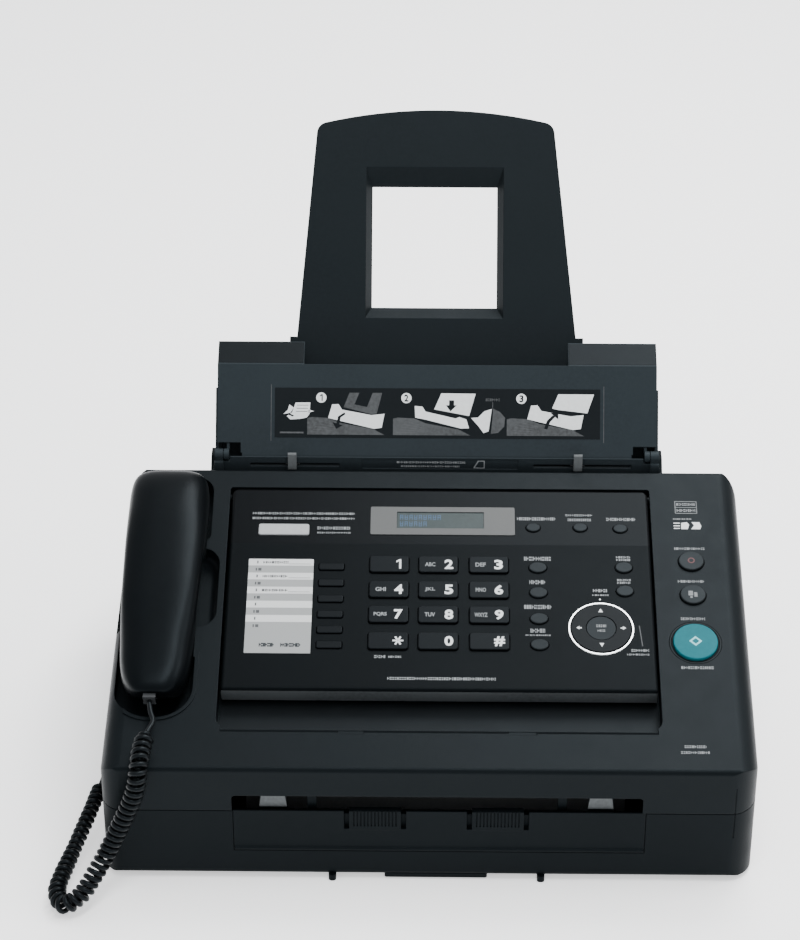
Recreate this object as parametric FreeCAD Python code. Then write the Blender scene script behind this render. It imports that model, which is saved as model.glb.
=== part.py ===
import FreeCAD, Part
import math, os
from FreeCAD import Vector as V, Placement, Rotation, Matrix

# ---------------------------------------------------------------- driving dimensions (mm)
BODY_HALF_W = 215.0      # centre plane to the right side
LEFT_FRONT = -220.0      # left side at the front
LEFT_REAR = -215.5       # left side at the cover's rear edge
BODY_DEPTH = 300.0       # depth of the base shell
BASE_BOTTOM = 4.0        # underside of the base shell, standing on its feet
WALL = 2.5               # plastic wall
CREASE_Z = 93.24         # height of the front top edge
SLOPE = 16.0             # tilt of the top face, degrees
COVER_REAR_Y = 251.6     # rear edge of the top cover
SEAM_Z0 = 58.0           # seam between base and cover at the front
SEAM_RISE = 0.2157       # rise of the side seam per mm of depth
SEAM_GAP = 0.6
SHOULDER_R = 14.0        # rounding of the two long top edges
FRONT_R = 18.0           # front right vertical corner
FRONT_L = 13.0           # front left vertical corner
REAR_R = 10.0            # rear vertical corners of the base
COVER_R = 15.0           # rear corners of the cover
YF = -215.6              # front face in the finished frame
TRAY_TILT = 35.0         # paper tray, degrees back from the vertical
TRAY_Y, TRAY_Z = 261.4, 171.2
COVER_AXIS = (247.5, 159.5)        # y, z of the cover's hinge
PANEL_AXIS = (237.5, -4.0)         # s, t of the panel's hinge
PANEL_X0, PANEL_X1, PANEL_S0, PANEL_S1 = -143.2, 151.0, 65.0, 243.0
PANEL_TOP, PANEL_BOT = 1.0, -12.0
REC_X0, REC_X1, REC_S0, REC_S1, REC_T = -144.6, 152.4, 34.0, 244.0, -14.6
KEY_GAP = 0.4            # gap round every key
PLUG_GAP = 0.35
CORD_D = 12.6            # outside of the curly part
WIRE_D = 3.6             # its wire

# ---------------------------------------------------------------- helpers
PS = Placement(V(0, 0, CREASE_Z), Rotation(V(1, 0, 0), SLOPE))
PT = Placement(V(0, TRAY_Y, TRAY_Z), Rotation(V(1, 0, 0), 90.0 - TRAY_TILT))

def place(sh, pl):
    s = sh.copy()
    s.Placement = pl.multiply(s.Placement)
    return s

def S(sh):
    return place(sh, PS)

def T(sh):
    return place(sh, PT)

def box(x0, x1, y0, y1, z0, z1):
    return Part.makeBox(x1 - x0, y1 - y0, z1 - z0, V(x0, y0, z0))

def cylx(x0, x1, y, z, r):
    return Part.makeCylinder(r, x1 - x0, V(x0, y, z), V(1, 0, 0))

def cylz(x, y, z0, z1, r):
    return Part.makeCylinder(r, z1 - z0, V(x, y, z0), V(0, 0, 1))

def rwire(pts, put):
    """closed outline through corners (a, b, r), each rounded by r"""
    n = len(pts)
    ends, arcs = [], []
    for i in range(n):
        a, b, r = pts[i]
        p = V(a, b, 0)
        q0 = V(pts[i - 1][0], pts[i - 1][1], 0)
        q1 = V(pts[(i + 1) % n][0], pts[(i + 1) % n][1], 0)
        if r <= 0:
            ends.append((p, p)); arcs.append(None); continue
        d0 = (q0 - p).normalize(); d1 = (q1 - p).normalize()
        half = d0.getAngle(d1) / 2.0
        L = r / math.tan(half)
        t0 = p + d0 * L; t1 = p + d1 * L
        bis = (d0 + d1).normalize()
        mid = p + bis * (r / math.sin(half) - r)
        ends.append((t0, t1)); arcs.append((t0, mid, t1))
    edges = []
    for i in range(n):
        if arcs[i]:
            edges.append(Part.Arc(put(arcs[i][0]), put(arcs[i][1]), put(arcs[i][2])).toShape())
        a, b = ends[i][1], ends[(i + 1) % n][0]
        if (a - b).Length > 1e-6:
            edges.append(Part.makeLine(put(a), put(b)))
    return Part.Face(Part.Wire(edges))

def pz(pts, z0, z1):
    return rwire(pts, lambda p: V(p.x, p.y, z0)).extrude(V(0, 0, z1 - z0))

def px(pts, x0, x1):
    return rwire(pts, lambda p: V(x0, p.x, p.y)).extrude(V(x1 - x0, 0, 0))

def py(pts, y0, y1):
    return rwire(pts, lambda p: V(p.x, y0, p.y)).extrude(V(0, y1 - y0, 0))

def rr(x0, x1, y0, y1, r, z0, z1):
    rs = r if isinstance(r, (list, tuple)) else (r, r, r, r)
    return pz([(x0, y0, rs[0]), (x1, y0, rs[1]), (x1, y1, rs[2]), (x0, y1, rs[3])], z0, z1)

def fuse(shapes):
    s = shapes[0]
    if len(shapes) > 1:
        s = s.fuse(shapes[1:])
    return s.removeSplitter()

def cut(a, tools):
    return a.cut(tools) if tools else a

def seam(y):
    return SEAM_Z0 + SEAM_RISE * y

def topz(y):
    return CREASE_Z + y * math.tan(math.radians(SLOPE))

def xl(y):
    """left side of the machine at a depth y"""
    return LEFT_FRONT + y * (LEFT_REAR - LEFT_FRONT) / COVER_REAR_Y

NODES = {}

def add(name, *solids):
    out = []
    for s in solids:
        for q in s.Solids:
            out.append(q)
    NODES[name] = out

# ---------------------------------------------------------------- base shell
W = BODY_HALF_W
def plan(off, y1, rear_r, z0, z1, y0=0.0):
    return pz([(xl(y0) + off, y0 + off, FRONT_L - off), (W - off, y0 + off, FRONT_R - off),
               (W - off, y1 - off, max(rear_r - off, 1)), (xl(y1) + off, y1 - off, max(rear_r - off, 1))], z0, z1)
E = COVER_REAR_Y + 1.6                    # front of the base's rear shoulder

b_out = px([(0, BASE_BOTTOM, 3), (BODY_DEPTH, BASE_BOTTOM, 3), (BODY_DEPTH, 106, 6), (274, 132, 6), (E, 132, 0),
            (E, seam(E), 0), (0, SEAM_Z0, 0)], -W - 8, W).common(plan(0, BODY_DEPTH, REAR_R, 0, 200))
b_in = px([(WALL, BASE_BOTTOM + WALL, 1), (BODY_DEPTH - WALL, BASE_BOTTOM + WALL, 1), (BODY_DEPTH - WALL, 105, 4),
           (273, 129.5, 4), (E + 2.5, 129.5, 0), (E + 2.5, seam(E + 2.5) - 4, 0), (E - 0.6, seam(E - 0.6) - 4, 0), (E - 0.6, 190, 0), (WALL, 190, 0)],
          -W - 8, W).common(plan(WALL, BODY_DEPTH, REAR_R, 0, 200))
base = b_out.cut(b_in)
# middle of the rear shoulder is open for the paper tray
base = base.cut(box(-160.0, 163.0, 246, 302, 106, 160))
inner_ribs = []
# walls that close the opening: behind the paper tray and at the two shoulders
inner_ribs.append(box(-160.0, 163.0, 297.5, 300, 100, 128))
inner_ribs.append(box(-157.4, 160.4, 297.5, 300, 100, 160))
for x0, x1 in ((-162.5, -160.0), (163.0, 165.5)):
    inner_ribs.append(px([(E, 104, 0), (299.9, 104, 0), (299.9, 152, 0), (290, 152, 4), (268, 134, 4), (E, 132, 0)], x0, x1))
for x0, x1 in ((-160.1, -157.7), (160.7, 163.1)):
    inner_ribs.append(px([(266, 104, 0), (299.9, 104, 0), (299.9, 127, 0), (266, 131, 0)], x0, x1))
# bearing ribs of the paper exit shaft
for x in (-152.0, 152.0):
    inner_ribs.append(px([(6, BASE_BOTTOM + 1, 0), (28, BASE_BOTTOM + 1, 0), (28, 62, 0), (24, 73.5, 3), (8, 73.5, 3), (6, 62, 0)], x - 2, x + 2))
# standoffs of the main board
for x in (-185, -20, 90):
    for y in (120, 270):
        inner_ribs.append(cylz(x, y, BASE_BOTTOM + 1, 12, 3.5))
# floor blocks that carry the laser unit and the fuser
for x in (-112, 108):
    z1 = 12 if x < 0 else 20
    inner_ribs.append(box(x, x + 8, 140, 148, BASE_BOTTOM + 1, z1))
    inner_ribs.append(box(x, x + 8, 226, 234, BASE_BOTTOM + 1, z1))
for x in (-124, 120):
    inner_ribs.append(box(x, x + 8, 34, 60, BASE_BOTTOM + 1, 24))
# hinge brackets of the cover
ay, az = COVER_AXIS
for sgn in (-1, 1):
    xb0, xb1 = (172.0, 177.0) if sgn > 0 else (-177.0, -172.0)
    arm = px([(ay - 3.0, az - 1.4, 0), (ay - 1.0, az - 8.0, 0), (E + 1.0, 122, 0), (E + 5.0, 122, 0), (E + 5.0, 136, 0), (ay + 2.6, az - 2.6, 0), (ay, az, 0)], xb0, xb1)
    inner_ribs += [arm, cylx(xb0, xb1, ay, az, 3.3)]
    inner_ribs.append(cylx(166.5, 173.0, ay, az, 2.5) if sgn > 0 else cylx(-173.0, -166.5, ay, az, 2.5))
# rails that hold the paper tray
for x0, x1 in ((-160.1, -157.7), (160.7, 163.1)):
    inner_ribs.append(box(x0, x1, 262, 298, 44, 110))
# block behind the left side that holds the handset jack
JACK = (-224.2, 90.0, 32.0)               # x, front face y and z of the right-angled plug
inner_ribs.append(box(-W - 8, -204.0, 58.5, 106.0, 21.5, 42.5).common(b_out))
base = fuse([base] + inner_ribs)
# two pegs, a lip and small marks below the front edge
base = fuse([base, rr(-69.6, -64.4, -2.4, 5.5, 2.2, 0.3, 5), rr(70.4, 75.6, -2.4, 5.5, 2.2, 0.3, 5), rr(-32, 37, 0.4, 9, 1.5, 1.6, 5)])
cuts = [box(-132.6, 141.6, -1, 3.2, 24.4, 62),                     # seat of the exit panel
        box(-128, 137, 1, 5, 30, 62),
        box(199.6, 200.5, -1, 0.8, 38, 60),                        # corner seam line
        box(214.3, 217, 6, 246, 51.6, 52.4),
        box(-W - 12, -207.0, JACK[1], JACK[1] + 8.8, JACK[2] - 4.2, JACK[2] + 4.2)]
# rear wall cut-outs: two phone jacks, data port, mains inlet
for x in (-186.0, -166.0):
    cuts.append(box(x - 7, x + 7, 296, 302, 16, 31))
cuts.append(box(-146.5, -133.5, 296, 302, 16, 28))
cuts.append(py([(151, 18, 2), (179, 18, 2), (179, 38, 2), (151, 38, 2)], 296, 302))
# cooling slots on the right side and the floor
for i in range(9):
    cuts.append(box(211, 217, 92 + i * 7, 95.4 + i * 7, 22, 44))
for i in range(7):
    cuts.append(rr(120, 170, 180 + i * 8, 184 + i * 8, 1.9, 2, 8))
# bores of the exit shaft
cuts.append(cylx(-156, 156, 17, 65.5, 3.06))
base = base.cut(cuts)
add("base_shell", base)

# ---------------------------------------------------------------- exit panel, feet
ep = [px([(0.0, 24.8, 0), (3.1, 24.8, 0), (3.1, 54.6, 0), (1.4, 58.6, 0), (0.0, 58.6, 0)], -132.2, 141.2),
      box(-127, 136, 3.0, 5.0, 30.4, 54.0),
      px([(-1.1, 25.6, 0.5), (0.5, 25.2, 0), (0.5, 28.6, 0), (-1.1, 27.4, 0.5)], -131.8, 140.8)]
for x0 in (-55.3, 26.2):
    ep.append(py([(x0, 43.6, 2), (x0 + 34.4, 43.6, 2), (x0 + 34.4, 59.6, 0.6), (x0, 59.6, 0.6)], -1.3, 3.4))
ep.append(box(-133 + 2, 139 - 2, 4.9, 8.0, 48, 54.0))
for x0, x1 in ((-115.3, -96.2), (102.5, 120.3)):
    ep.append(py([(x0, 53.0, 0), (x1, 53.0, 0), (x1 - 1.0, 68.8, 1), (x0 + 1.0, 68.8, 1)], 4.4, 6.2))
for x0, x1 in ((-83, -77), (83, 89)):
    ep.append(box(x0, x1, 4.4, 6.2, 53.0, 68.8))
epanel = fuse(ep)
gr = []
for x0 in (-55.3, 26.2):
    for i in range(13):
        xx = x0 + 3.2 + i * 2.33
        gr.append(box(xx - 0.42, xx + 0.42, -2, -0.5, 47.0, 61))
    # a slot on either side lets the pad flex
    gr.append(box(x0 - 3.4, x0, -2, 3.3, 43.6, 61))
    gr.append(box(x0 + 34.4, x0 + 37.8, -2, 3.3, 43.6, 61))
epanel = epanel.cut(gr)
add("exit_panel", epanel)
feet = []
for x in (-180.0, -122.0, 129.0, 176.0):
    feet.append(rr(x - 8.5, x + 8.5, 10, 24, 3, 0, BASE_BOTTOM))
for x in (-165.0, 165.0):
    feet.append(cylz(x, 276, 0, BASE_BOTTOM, 8))
add("rubber_feet", *feet)

# ---------------------------------------------------------------- top cover
def cover_solid(off):
    zb = SEAM_GAP if off == 0 else -20
    A = px([(off, seam(0) + zb, 0), (off, topz(0) - off * 1.02, max(3.6 - off, 0.8)),
            (COVER_REAR_Y - off, topz(COVER_REAR_Y - off) - off * 1.04, 2 if off == 0 else 0.5),
            (COVER_REAR_Y - off, seam(COVER_REAR_Y) + zb, 0)], -W - 9, W + 5)
    ends = []
    for sv in (-60.0, 300.0):
        x0 = xl(sv * math.cos(math.radians(SLOPE))) + off
        ends.append(rwire([(x0, -150, 0), (W - off, -150, 0), (W - off, -off, SHOULDER_R - off), (x0, -off, SHOULDER_R - off)],
                          lambda p, sv=sv: V(p.x, sv, p.y)).OuterWire)
    B = S(Part.makeLoft(ends, True, True))
    C = plan(off, COVER_REAR_Y, COVER_R, 0, 260)
    return A.common([B]).common([C])

c_out = cover_solid(0.0)
c_in = cover_solid(WALL)
shell = c_out.cut(c_in)
adds = []
def liner(shape):
    return shape.common(c_out)
# recess for the panel
adds.append(liner(S(box(REC_X0 - 2.5, REC_X1 + 2.5, REC_S0 - 2.5, REC_S1 + 2.4, REC_T - 2.5, 1))))
# handset cradle: mouth pocket, finger scoop, ear pocket
MOUTH = (-161.5, 41.5, 114.0, -16.0)
MOUTH_L = -214.2
SCOOP = (-149.0, 118.0, 188.0, -13.0)
EAR = (-156.4, 195.0, 253.5, -15.0)
for (x1, s0, s1, d) in (MOUTH, SCOOP, EAR):
    adds.append(liner(S(box(-W - 10, x1 + 2.4, s0 - 2.5, s1 + 2.5, d - 2.5, 1))))
adds.append(liner(S(box(-W - 10, -149.0, 110, 200, -12.5, 1))))
cover = fuse([shell] + adds)
# low rim round the front of the handset's cradle
rim_c = S(rr(MOUTH_L - 3.4, MOUTH[0] + 3.0, MOUTH[1] - 2.6, 97, (28, 28, 1, 1), -6, 0.9).common(box(-207, -150, 30, 98, -7, 2)))
cover = fuse([cover, rim_c])
cc = []
cc.append(S(rr(REC_X0, REC_X1, REC_S0, REC_S1, (8, 8, 2, 2), REC_T, 30)))
# bevel of the recess lip
bev = px([(REC_S0 - 3.6, 0.01, 0), (REC_S0 - 3.6, 3, 0), (REC_S0 + 2, 3, 0), (REC_S0 + 2, -2.6, 0), (REC_S0, -2.6, 0)], REC_X0 + 3, REC_X1 - 3)
cc.append(S(bev))
# two small openings in the lip
for x0, x1 in ((-63.0, -45.8), (50.3, 68.9)):
    cc.append(S(box(x0, x1, 29.2, 33.2, -2.2, 3)))
# document way in behind the panel, and the rear wall below the recess
cc.append(S(box(-114, 122, REC_S1 - 1, 272, REC_T, REC_T + 6.6)))
cc.append(box(-162.6, 163.8, COVER_REAR_Y - WALL - 1.2, COVER_REAR_Y + 2, 90, 143.6))
# pockets
cc.append(S(rr(MOUTH_L, MOUTH[0], MOUTH[1], 92, (24.5, 24.5, 1, 0), MOUTH[3], 40)))
cc.append(S(box(MOUTH_L, -162.6, 90, MOUTH[2], MOUTH[3], 40)))
sc = S(rr(-W - 12, SCOOP[0], SCOOP[1], SCOOP[2], (0, 14, 14, 0), SCOOP[3], 40))
try:
    low = [e for e in sc.Edges if abs((PS.inverse().multVec(e.CenterOfMass)).z - SCOOP[3]) < 0.05]
    sc = sc.makeFillet(6.0, low)
except Exception:
    pass
cc.append(sc)
cc.append(S(rr(-W - 12, EAR[0], EAR[1], EAR[2], (0, 5, 14, 0), EAR[3], 40)))
cc.append(S(box(MOUTH_L, -162.6, MOUTH[2] - 1, SCOOP[1] + 1, -9.0, 40)))
cc.append(S(box(-W - 12, -159.0, SCOOP[2] - 8, EAR[1] + 1, -10.5, 40)))
# hook switch slot
HOOK = (-186.6, 214.0)
cc.append(S(box(HOOK[0] - 5.0, HOOK[0] + 5.0, HOOK[1] - 3.0, HOOK[1] + 3.0, -30, 0)))
# paper exit slot in the front skirt
cc.append(py([(-133, 50, 0), (139, 50, 0), (139, 71, 2.5), (-133, 71, 2.5)], -2, 4))
# corner seam lines
cc.append(box(199.6, 200.5, -1, 0.8, 50, 80))
# slots in the rear wall for the hinge brackets
for xs0, xs1 in ((-177.6, -171.4), (171.4, 177.6)):
    cc.append(box(xs0, xs1, COVER_REAR_Y - 12, COVER_REAR_Y + 2, 90, az + 1.0))
    cc.append(cylx(xs0, xs1, ay, az, 3.6))
# right side: three round keys
STOP = (178.7, 178.3, 8.9, 8.3)
COPY = (178.4, 148.6, 8.9, 8.3)
START = (177.9, 107.4, 15.1, 15.1)
def oval(x, s, a, b, t0, t1, grow=0.0):
    a2, b2 = a + grow, b + grow
    if abs(a2 - b2) < 1e-6:
        return Part.makeCylinder(a2, t1 - t0, V(x, s, t0))
    if a2 > b2:
        e = Part.Ellipse(V(x, s, t0), a2, b2).toShape()
    else:
        e = Part.Ellipse(V(x, s + b2, t0), V(x + a2, s, t0), V(x, s, t0)).toShape()
    return Part.Face(Part.Wire([e])).extrude(V(0, 0, t1 - t0))
for k in (STOP, COPY, START):
    cc.append(S(oval(k[0], k[1], k[2], k[3], -8, 5, KEY_GAP)))
# ring groove round the start key
cc.append(S(Part.makeCylinder(17.9, 3, V(START[0], START[1], -0.7)).cut(Part.makeCylinder(16.3, 5, V(START[0], START[1], -1.5)))))
cover = cover.cut(cc)
# scanner and roller windows in the recess floor
CIS_S0, CIS_S1 = 96.0, 112.0
FEED_S, FEED_T, FEED_R = 172.0, -19.8, 6.0
cc2 = [S(box(-116, 121, CIS_S0, CIS_S1, -22, REC_T + 1)),
       S(box(-62, -28, FEED_S - 8, FEED_S + 8, -22, REC_T + 1)),
       S(box(36, 70, FEED_S - 8, FEED_S + 8, -22, REC_T + 1))]
cover = cover.cut(cc2)
# bearings of the feed shaft, hinge ears, panel bearings
more = []
for x in (-124.0, 128.0):
    more.append(S(px([(FEED_S - 6, REC_T - 2.3, 0), (FEED_S + 6, REC_T - 2.3, 0), (FEED_S + 5, -24.5, 3), (FEED_S - 5, -24.5, 3)], x - 2, x + 2)))
for sgn in (-1, 1):
    x0, x1 = (167.0, 171.4) if sgn > 0 else (-171.4, -167.0)
    more.append(cylx(x0, x1, ay, az, 4.0))
    more.append(px([(ay - 4.0, az, 0), (ay + 3.2, az, 0), (ay + 3.2, topz(ay + 3.2) - 1.2, 0), (ay - 4.0, topz(ay - 4) - 1.2, 0)], x0, x1).common(c_out))
cover = fuse([cover] + more)
ps_, pt_ = PANEL_AXIS
cover = cover.cut([S(cylx(-132, 136, FEED_S, FEED_T, 2.56)),
                   cylx(-171.8, -166.2, ay, az, 2.56), cylx(166.2, 171.8, ay, az, 2.56),
                   S(cylx(REC_X0 - 3, REC_X0 + 1, ps_, pt_, 2.56)), S(cylx(REC_X1 - 1, REC_X1 + 3, ps_, pt_, 2.56))])
add("top_cover", cover)

# scanner bar (same body as the cover) and feed roller
cis = S(fuse([box(-115.6, 120.6, CIS_S0 + 0.0, CIS_S1 - 0.0, -17.1, REC_T + 0.1), box(-112, 117, CIS_S0 + 1.5, CIS_S1 - 1.5, -24.5, -17.0),
              box(-118.5, -110, CIS_S0 + 1, CIS_S1 - 1, -19.6, -17.1), box(114, 123.5, CIS_S0 + 1, CIS_S1 - 1, -19.6, -17.1)]))
add("cis_scanner", cis)
fr = [cylx(-127, 131, FEED_S, FEED_T, 2.5)]
for x0 in (-59.0, 39.0):
    fr.append(cylx(x0, x0 + 28, FEED_S, FEED_T, FEED_R))
add("feed_roller", S(fuse(fr)))

# keys on the cover
def key_solid(cap, flange):
    return S(fuse([cap, flange]))
def flanged(x, s, a, b, top, t_under, low):
    cap = oval(x, s, a, b, t_under - 1.0, top)
    try:
        edge = [e for e in cap.Edges if e.BoundBox.ZLength < 1e-6 and abs(e.BoundBox.ZMax - top) < 1e-6]
        cap = cap.makeFillet(min(0.8, (top - 0.1) * 0.9), edge)
    except Exception:
        pass
    fl = oval(x, s, a + 1.3, b + 1.3, low, t_under - 0.35)
    return S(fuse([cap, fl]))
add("stop_key", flanged(STOP[0], STOP[1], STOP[2], STOP[3], 1.8, -WALL, -WALL - 2.6))
add("copy_key", flanged(COPY[0], COPY[1], COPY[2], COPY[3], 1.8, -WALL, -WALL - 2.6))
add("start_key", flanged(START[0], START[1], START[2], START[3], 2.2, -WALL - 0.3, -WALL - 2.9))

# hook switch plunger, held down by the handset
hk = S(fuse([box(HOOK[0] - 4.5, HOOK[0] + 4.5, HOOK[1] - 2.5, HOOK[1] + 2.5, -34, -13.4),
             box(HOOK[0] - 7, HOOK[0] + 7, HOOK[1] - 4, HOOK[1] + 4, -34, -23.0)]))
add("hook_switch", hk)

# ---------------------------------------------------------------- operation panel
PU = PANEL_TOP - 2.5                      # underside of the panel's top plate
pout = pz([(PANEL_X0, PANEL_S0, 2.5), (PANEL_X1, PANEL_S0, 2.5), (PANEL_X1, PANEL_S1, 6), (PANEL_X0, PANEL_S1, 6)], PANEL_BOT, PANEL_TOP)
try:
    rear = [e for e in pout.Edges if e.BoundBox.YLength < 1e-6 and abs(e.BoundBox.YMax - PANEL_S1) < 1e-6 and abs(e.BoundBox.ZMax - PANEL_TOP) < 1e-6 and e.BoundBox.ZLength < 1e-6]
    pout = pout.makeFillet(2.4, rear)
except Exception:
    pass
pout = pout.cut(px([(PANEL_S1 - 2.6, PANEL_TOP + 0.01, 0), (PANEL_S1 + 1, PANEL_TOP - 2.6, 0), (PANEL_S1 + 1, PANEL_TOP + 1, 0)], PANEL_X0 - 1, PANEL_X1 + 1))
pin = rr(PANEL_X0 + 2.5, PANEL_X1 - 2.5, PANEL_S0 + 2.5, PANEL_S1 - 3.6, 3, PANEL_BOT + 2.0, PU)
panel = pout.cut(pin)
# bosses for the key board
for x, s in ((-132, 76), (140, 76), (-132, 232), (140, 232), (-52, 140), (96, 190)):
    panel = panel.fuse(cylz(x, s, PANEL_BOT + 1.5, -6.9, 3.0))
panel = panel.fuse([cylx(PANEL_X0 - 3.6, PANEL_X0 + 1, ps_, pt_, 2.5), cylx(PANEL_X1 - 1, PANEL_X1 + 3.6, ps_, pt_, 2.5)])
KEYS = {}     # name: (x, s, half width, half height, corner radius or None for an oval, height)
names = [["1", "2", "3"], ["4", "5", "6"], ["7", "8", "9"], ["star", "0", "hash"]]
for r, sy in enumerate((172.9, 150.6, 128.7, 105.9)):
    for c, xc in enumerate((-31.0, 3.0, 38.0)):
        KEYS["key_" + names[r][c]] = (xc, sy, 13.65, 7.25, 2.2, 1.6)
for i, sy in enumerate((170.7, 156.4, 142.3, 128.8, 115.4, 102.5)):
    KEYS["station_key_%d" % (i + 1)] = (-71.0, sy, 8.75, 3.0, 1.4, 1.0)
for i, (xc, sy) in enumerate(((69.4, 207.2), (102.4, 207.5), (130.4, 206.8))):
    KEYS["function_key_%d" % (i + 1)] = (xc, sy, 5.0, 3.75, None, 1.2)
KEYS["auto_key"] = (-105.3, 204.2, 17.7, 4.85, 1.5, 0.9)
for i, sy in enumerate((171.1, 148.9, 126.2, 103.8)):
    KEYS["side_key_%d" % (i + 1)] = (72.0, sy, 6.2, 4.6, None, 1.3)
for i, sy in enumerate((171.6, 150.8)):
    KEYS["speaker_key_%d" % (i + 1)] = (131.6, sy, 6.0, 4.6, None, 1.3)
NAV = (114.2, 118.0)
holes = []
for k, (x, s, a, b, r, h) in KEYS.items():
    g = KEY_GAP
    holes.append(oval(x, s, a, b, PU - 0.5, 4, g) if r is None else rr(x - a - g, x + a + g, s - b - g, s + b + g, r + g, PU - 0.5, 4))
holes.append(Part.makeCylinder(20.9, 6, V(NAV[0], NAV[1], PU - 0.5)))
LCD = (-44.7, 56.7, 200.2, 225.5)
holes.append(rr(LCD[0], LCD[1], LCD[2], LCD[3], 1.2, PU - 0.5, 4))
CARD = (-128.6, -83.5, 95.3, 177.5)
holes.append(rr(CARD[0] - 0.3, CARD[1] + 0.3, CARD[2] - 0.3, CARD[3] + 0.3, 0.8, PANEL_TOP - 0.9, 4))
# raised ring of the navigation key is a shallow groove filled by a thin bright ring
panel = panel.cut(holes)
# document feed ribs under the panel
ribs = []
for x in range(-110, 120, 20):
    ribs.append(px([(68.5, PANEL_BOT - 0.0, 0), (236, PANEL_BOT - 0.0, 0), (232, PANEL_BOT - 0.5, 0), (72, PANEL_BOT - 0.5, 0)], x - 0.8, x + 0.8))
panel = fuse([panel] + ribs)
add("operation_panel", S(panel))

kb = rr(PANEL_X0 + 4, PANEL_X1 - 4, PANEL_S0 + 5, PANEL_S1 - 6, 2, -6.9, -5.5)
add("key_board", S(kb))

disp = fuse([rr(LCD[0], LCD[1], LCD[2], LCD[3], 1.2, PU - 0.5, 1.5), box(LCD[0] + 6, LCD[1] - 6, LCD[2] + 3, LCD[3] - 3, -5.5, PU)])
disp = disp.cut(box(-26.2, 35.0, 206.0, 221.0, 0.5, 5))
add("display", S(disp))
add("directory_card", S(rr(CARD[0], CARD[1], CARD[2], CARD[3], 0.6, PANEL_TOP - 0.9, PANEL_TOP + 0.15)))

LOW = -3.85                                # underside of a key at rest
for k, (x, s, a, b, r, h) in KEYS.items():
    top = PANEL_TOP + h
    if r is None:
        cap = oval(x, s, a, b, PU - 0.6, top)
        fl = oval(x, s, a + 1.2, b + 1.2, LOW, PU - 0.35)
    else:
        cap = rr(x - a, x + a, s - b, s + b, r, PU - 0.6, top)
        fl = rr(x - a - 1.2, x + a + 1.2, s - b - 1.2, s + b + 1.2, r, LOW, PU - 0.35)
    try:
        edge = [e for e in cap.Edges if e.BoundBox.ZLength < 1e-6 and abs(e.BoundBox.ZMax - top) < 1e-6]
        cap = cap.makeFillet(min(0.7, h * 0.6), edge)
    except Exception:
        pass
    add(k, S(fuse([cap, fl])))
rock = Part.makeCylinder(20.5, PANEL_TOP + 1.2 - (PU - 0.6), V(NAV[0], NAV[1], PU - 0.6))
rock = rock.fuse(Part.makeCylinder(21.9, PU - 0.35 - LOW, V(NAV[0], NAV[1], LOW)))
rock = rock.cut(Part.makeCylinder(10.4, 30, V(NAV[0], NAV[1], -10)))
rock = rock.cut(Part.makeCylinder(11.6, 3, V(NAV[0], NAV[1], LOW - 0.5)))
add("navigation_key", S(rock))
sk = Part.makeCylinder(10.0, PANEL_TOP + 1.0 - LOW, V(NAV[0], NAV[1], LOW))
add("set_key", S(sk))

# ---------------------------------------------------------------- handset
HX = -187.4
SEC = [  # s, half width, bottom t, top t, centre x shift
    (53.2, 7.5, 8.2, 12.6, 0.0),
    (54.4, 11.6, 4.2, 14.9, 0.0),
    (57.4, 15.2, -1.4, 16.8, 0.0),
    (62.0, 18.4, -7.6, 18.4, 0.0),
    (68.0, 21.0, -12.4, 19.8, 0.0),
    (76.0, 22.8, -14.2, 21.2, 0.0),
    (92.0, 24.2, -13.8, 23.2, 0.0),
    (106.0, 25.0, -7.6, 24.6, 0.2),
    (124.0, 25.7, 1.2, 26.2, 0.3),
    (152.0, 26.6, 3.6, 27.9, 0.8),
    (178.0, 27.3, 2.2, 28.7, 1.2),
    (198.0, 27.7, -5.4, 28.9, 1.4),
    (213.0, 27.8, -12.2, 28.3, 1.4),
    (231.0, 27.2, -12.4, 25.4, 1.4),
    (241.0, 24.6, -9.0, 20.6, 1.2),
    (246.0, 17.6, -2.6, 13.6, 1.0),
]
def section(s, hw, tb, tt, dx):
    n = 28
    tc, ht = (tb + tt) / 2.0, (tt - tb) / 2.0
    pts = []
    for i in range(n):
        a = 2 * math.pi * i / n
        c, d = math.cos(a), math.sin(a)
        ex = 2.0 / 3.2
        pts.append(V(HX + dx + hw * math.copysign(abs(c) ** ex, c), s, tc + ht * math.copysign(abs(d) ** ex, d)))
    cv = Part.BSplineCurve()
    cv.interpolate(Points=pts, PeriodicFlag=True)
    return Part.Wire([cv.toShape()])
hs = Part.makeLoft([section(*q) for q in SEC], True, False)
split = px([(30, 6.4, 0), (70, 6.4, 0), (120, 12.0, 0), (190, 12.4, 0), (265, 4.5, 0), (265, 60, 0), (30, 60, 0)], -260, -100)
h_back = hs.common(split)
h_front = hs.cut(split)
# seat of the cord plug in the mouth end, ear and mouth sound holes
PLUG_H = (-189.0, 7.4)
seat = box(PLUG_H[0] - 4.2, PLUG_H[0] + 4.2, 48, 61.0, PLUG_H[1] - 3.9, PLUG_H[1] + 3.9)
h_back = h_back.cut(seat)
h_front = h_front.cut(seat)
sound = []
for cx, cs in ((HX, 80.0),):
    for i in range(7):
        a = math.radians(60 * i)
        rr_ = 0 if i == 6 else 6
        sound.append(cylz(cx + rr_ * math.cos(a), cs + rr_ * math.sin(a), -18, -12.6, 1.1))
for cx, cs in ((HX + 1.4, 227.0),):
    for i in range(7):
        a = math.radians(60 * i)
        rr_ = 0 if i == 6 else 5
        sound.append(cylz(cx + rr_ * math.cos(a), cs + rr_ * math.sin(a), -18, -10.6, 1.1))
h_front = h_front.cut(sound)
add("handset_back", S(h_back))
add("handset_front", S(h_front))
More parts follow.
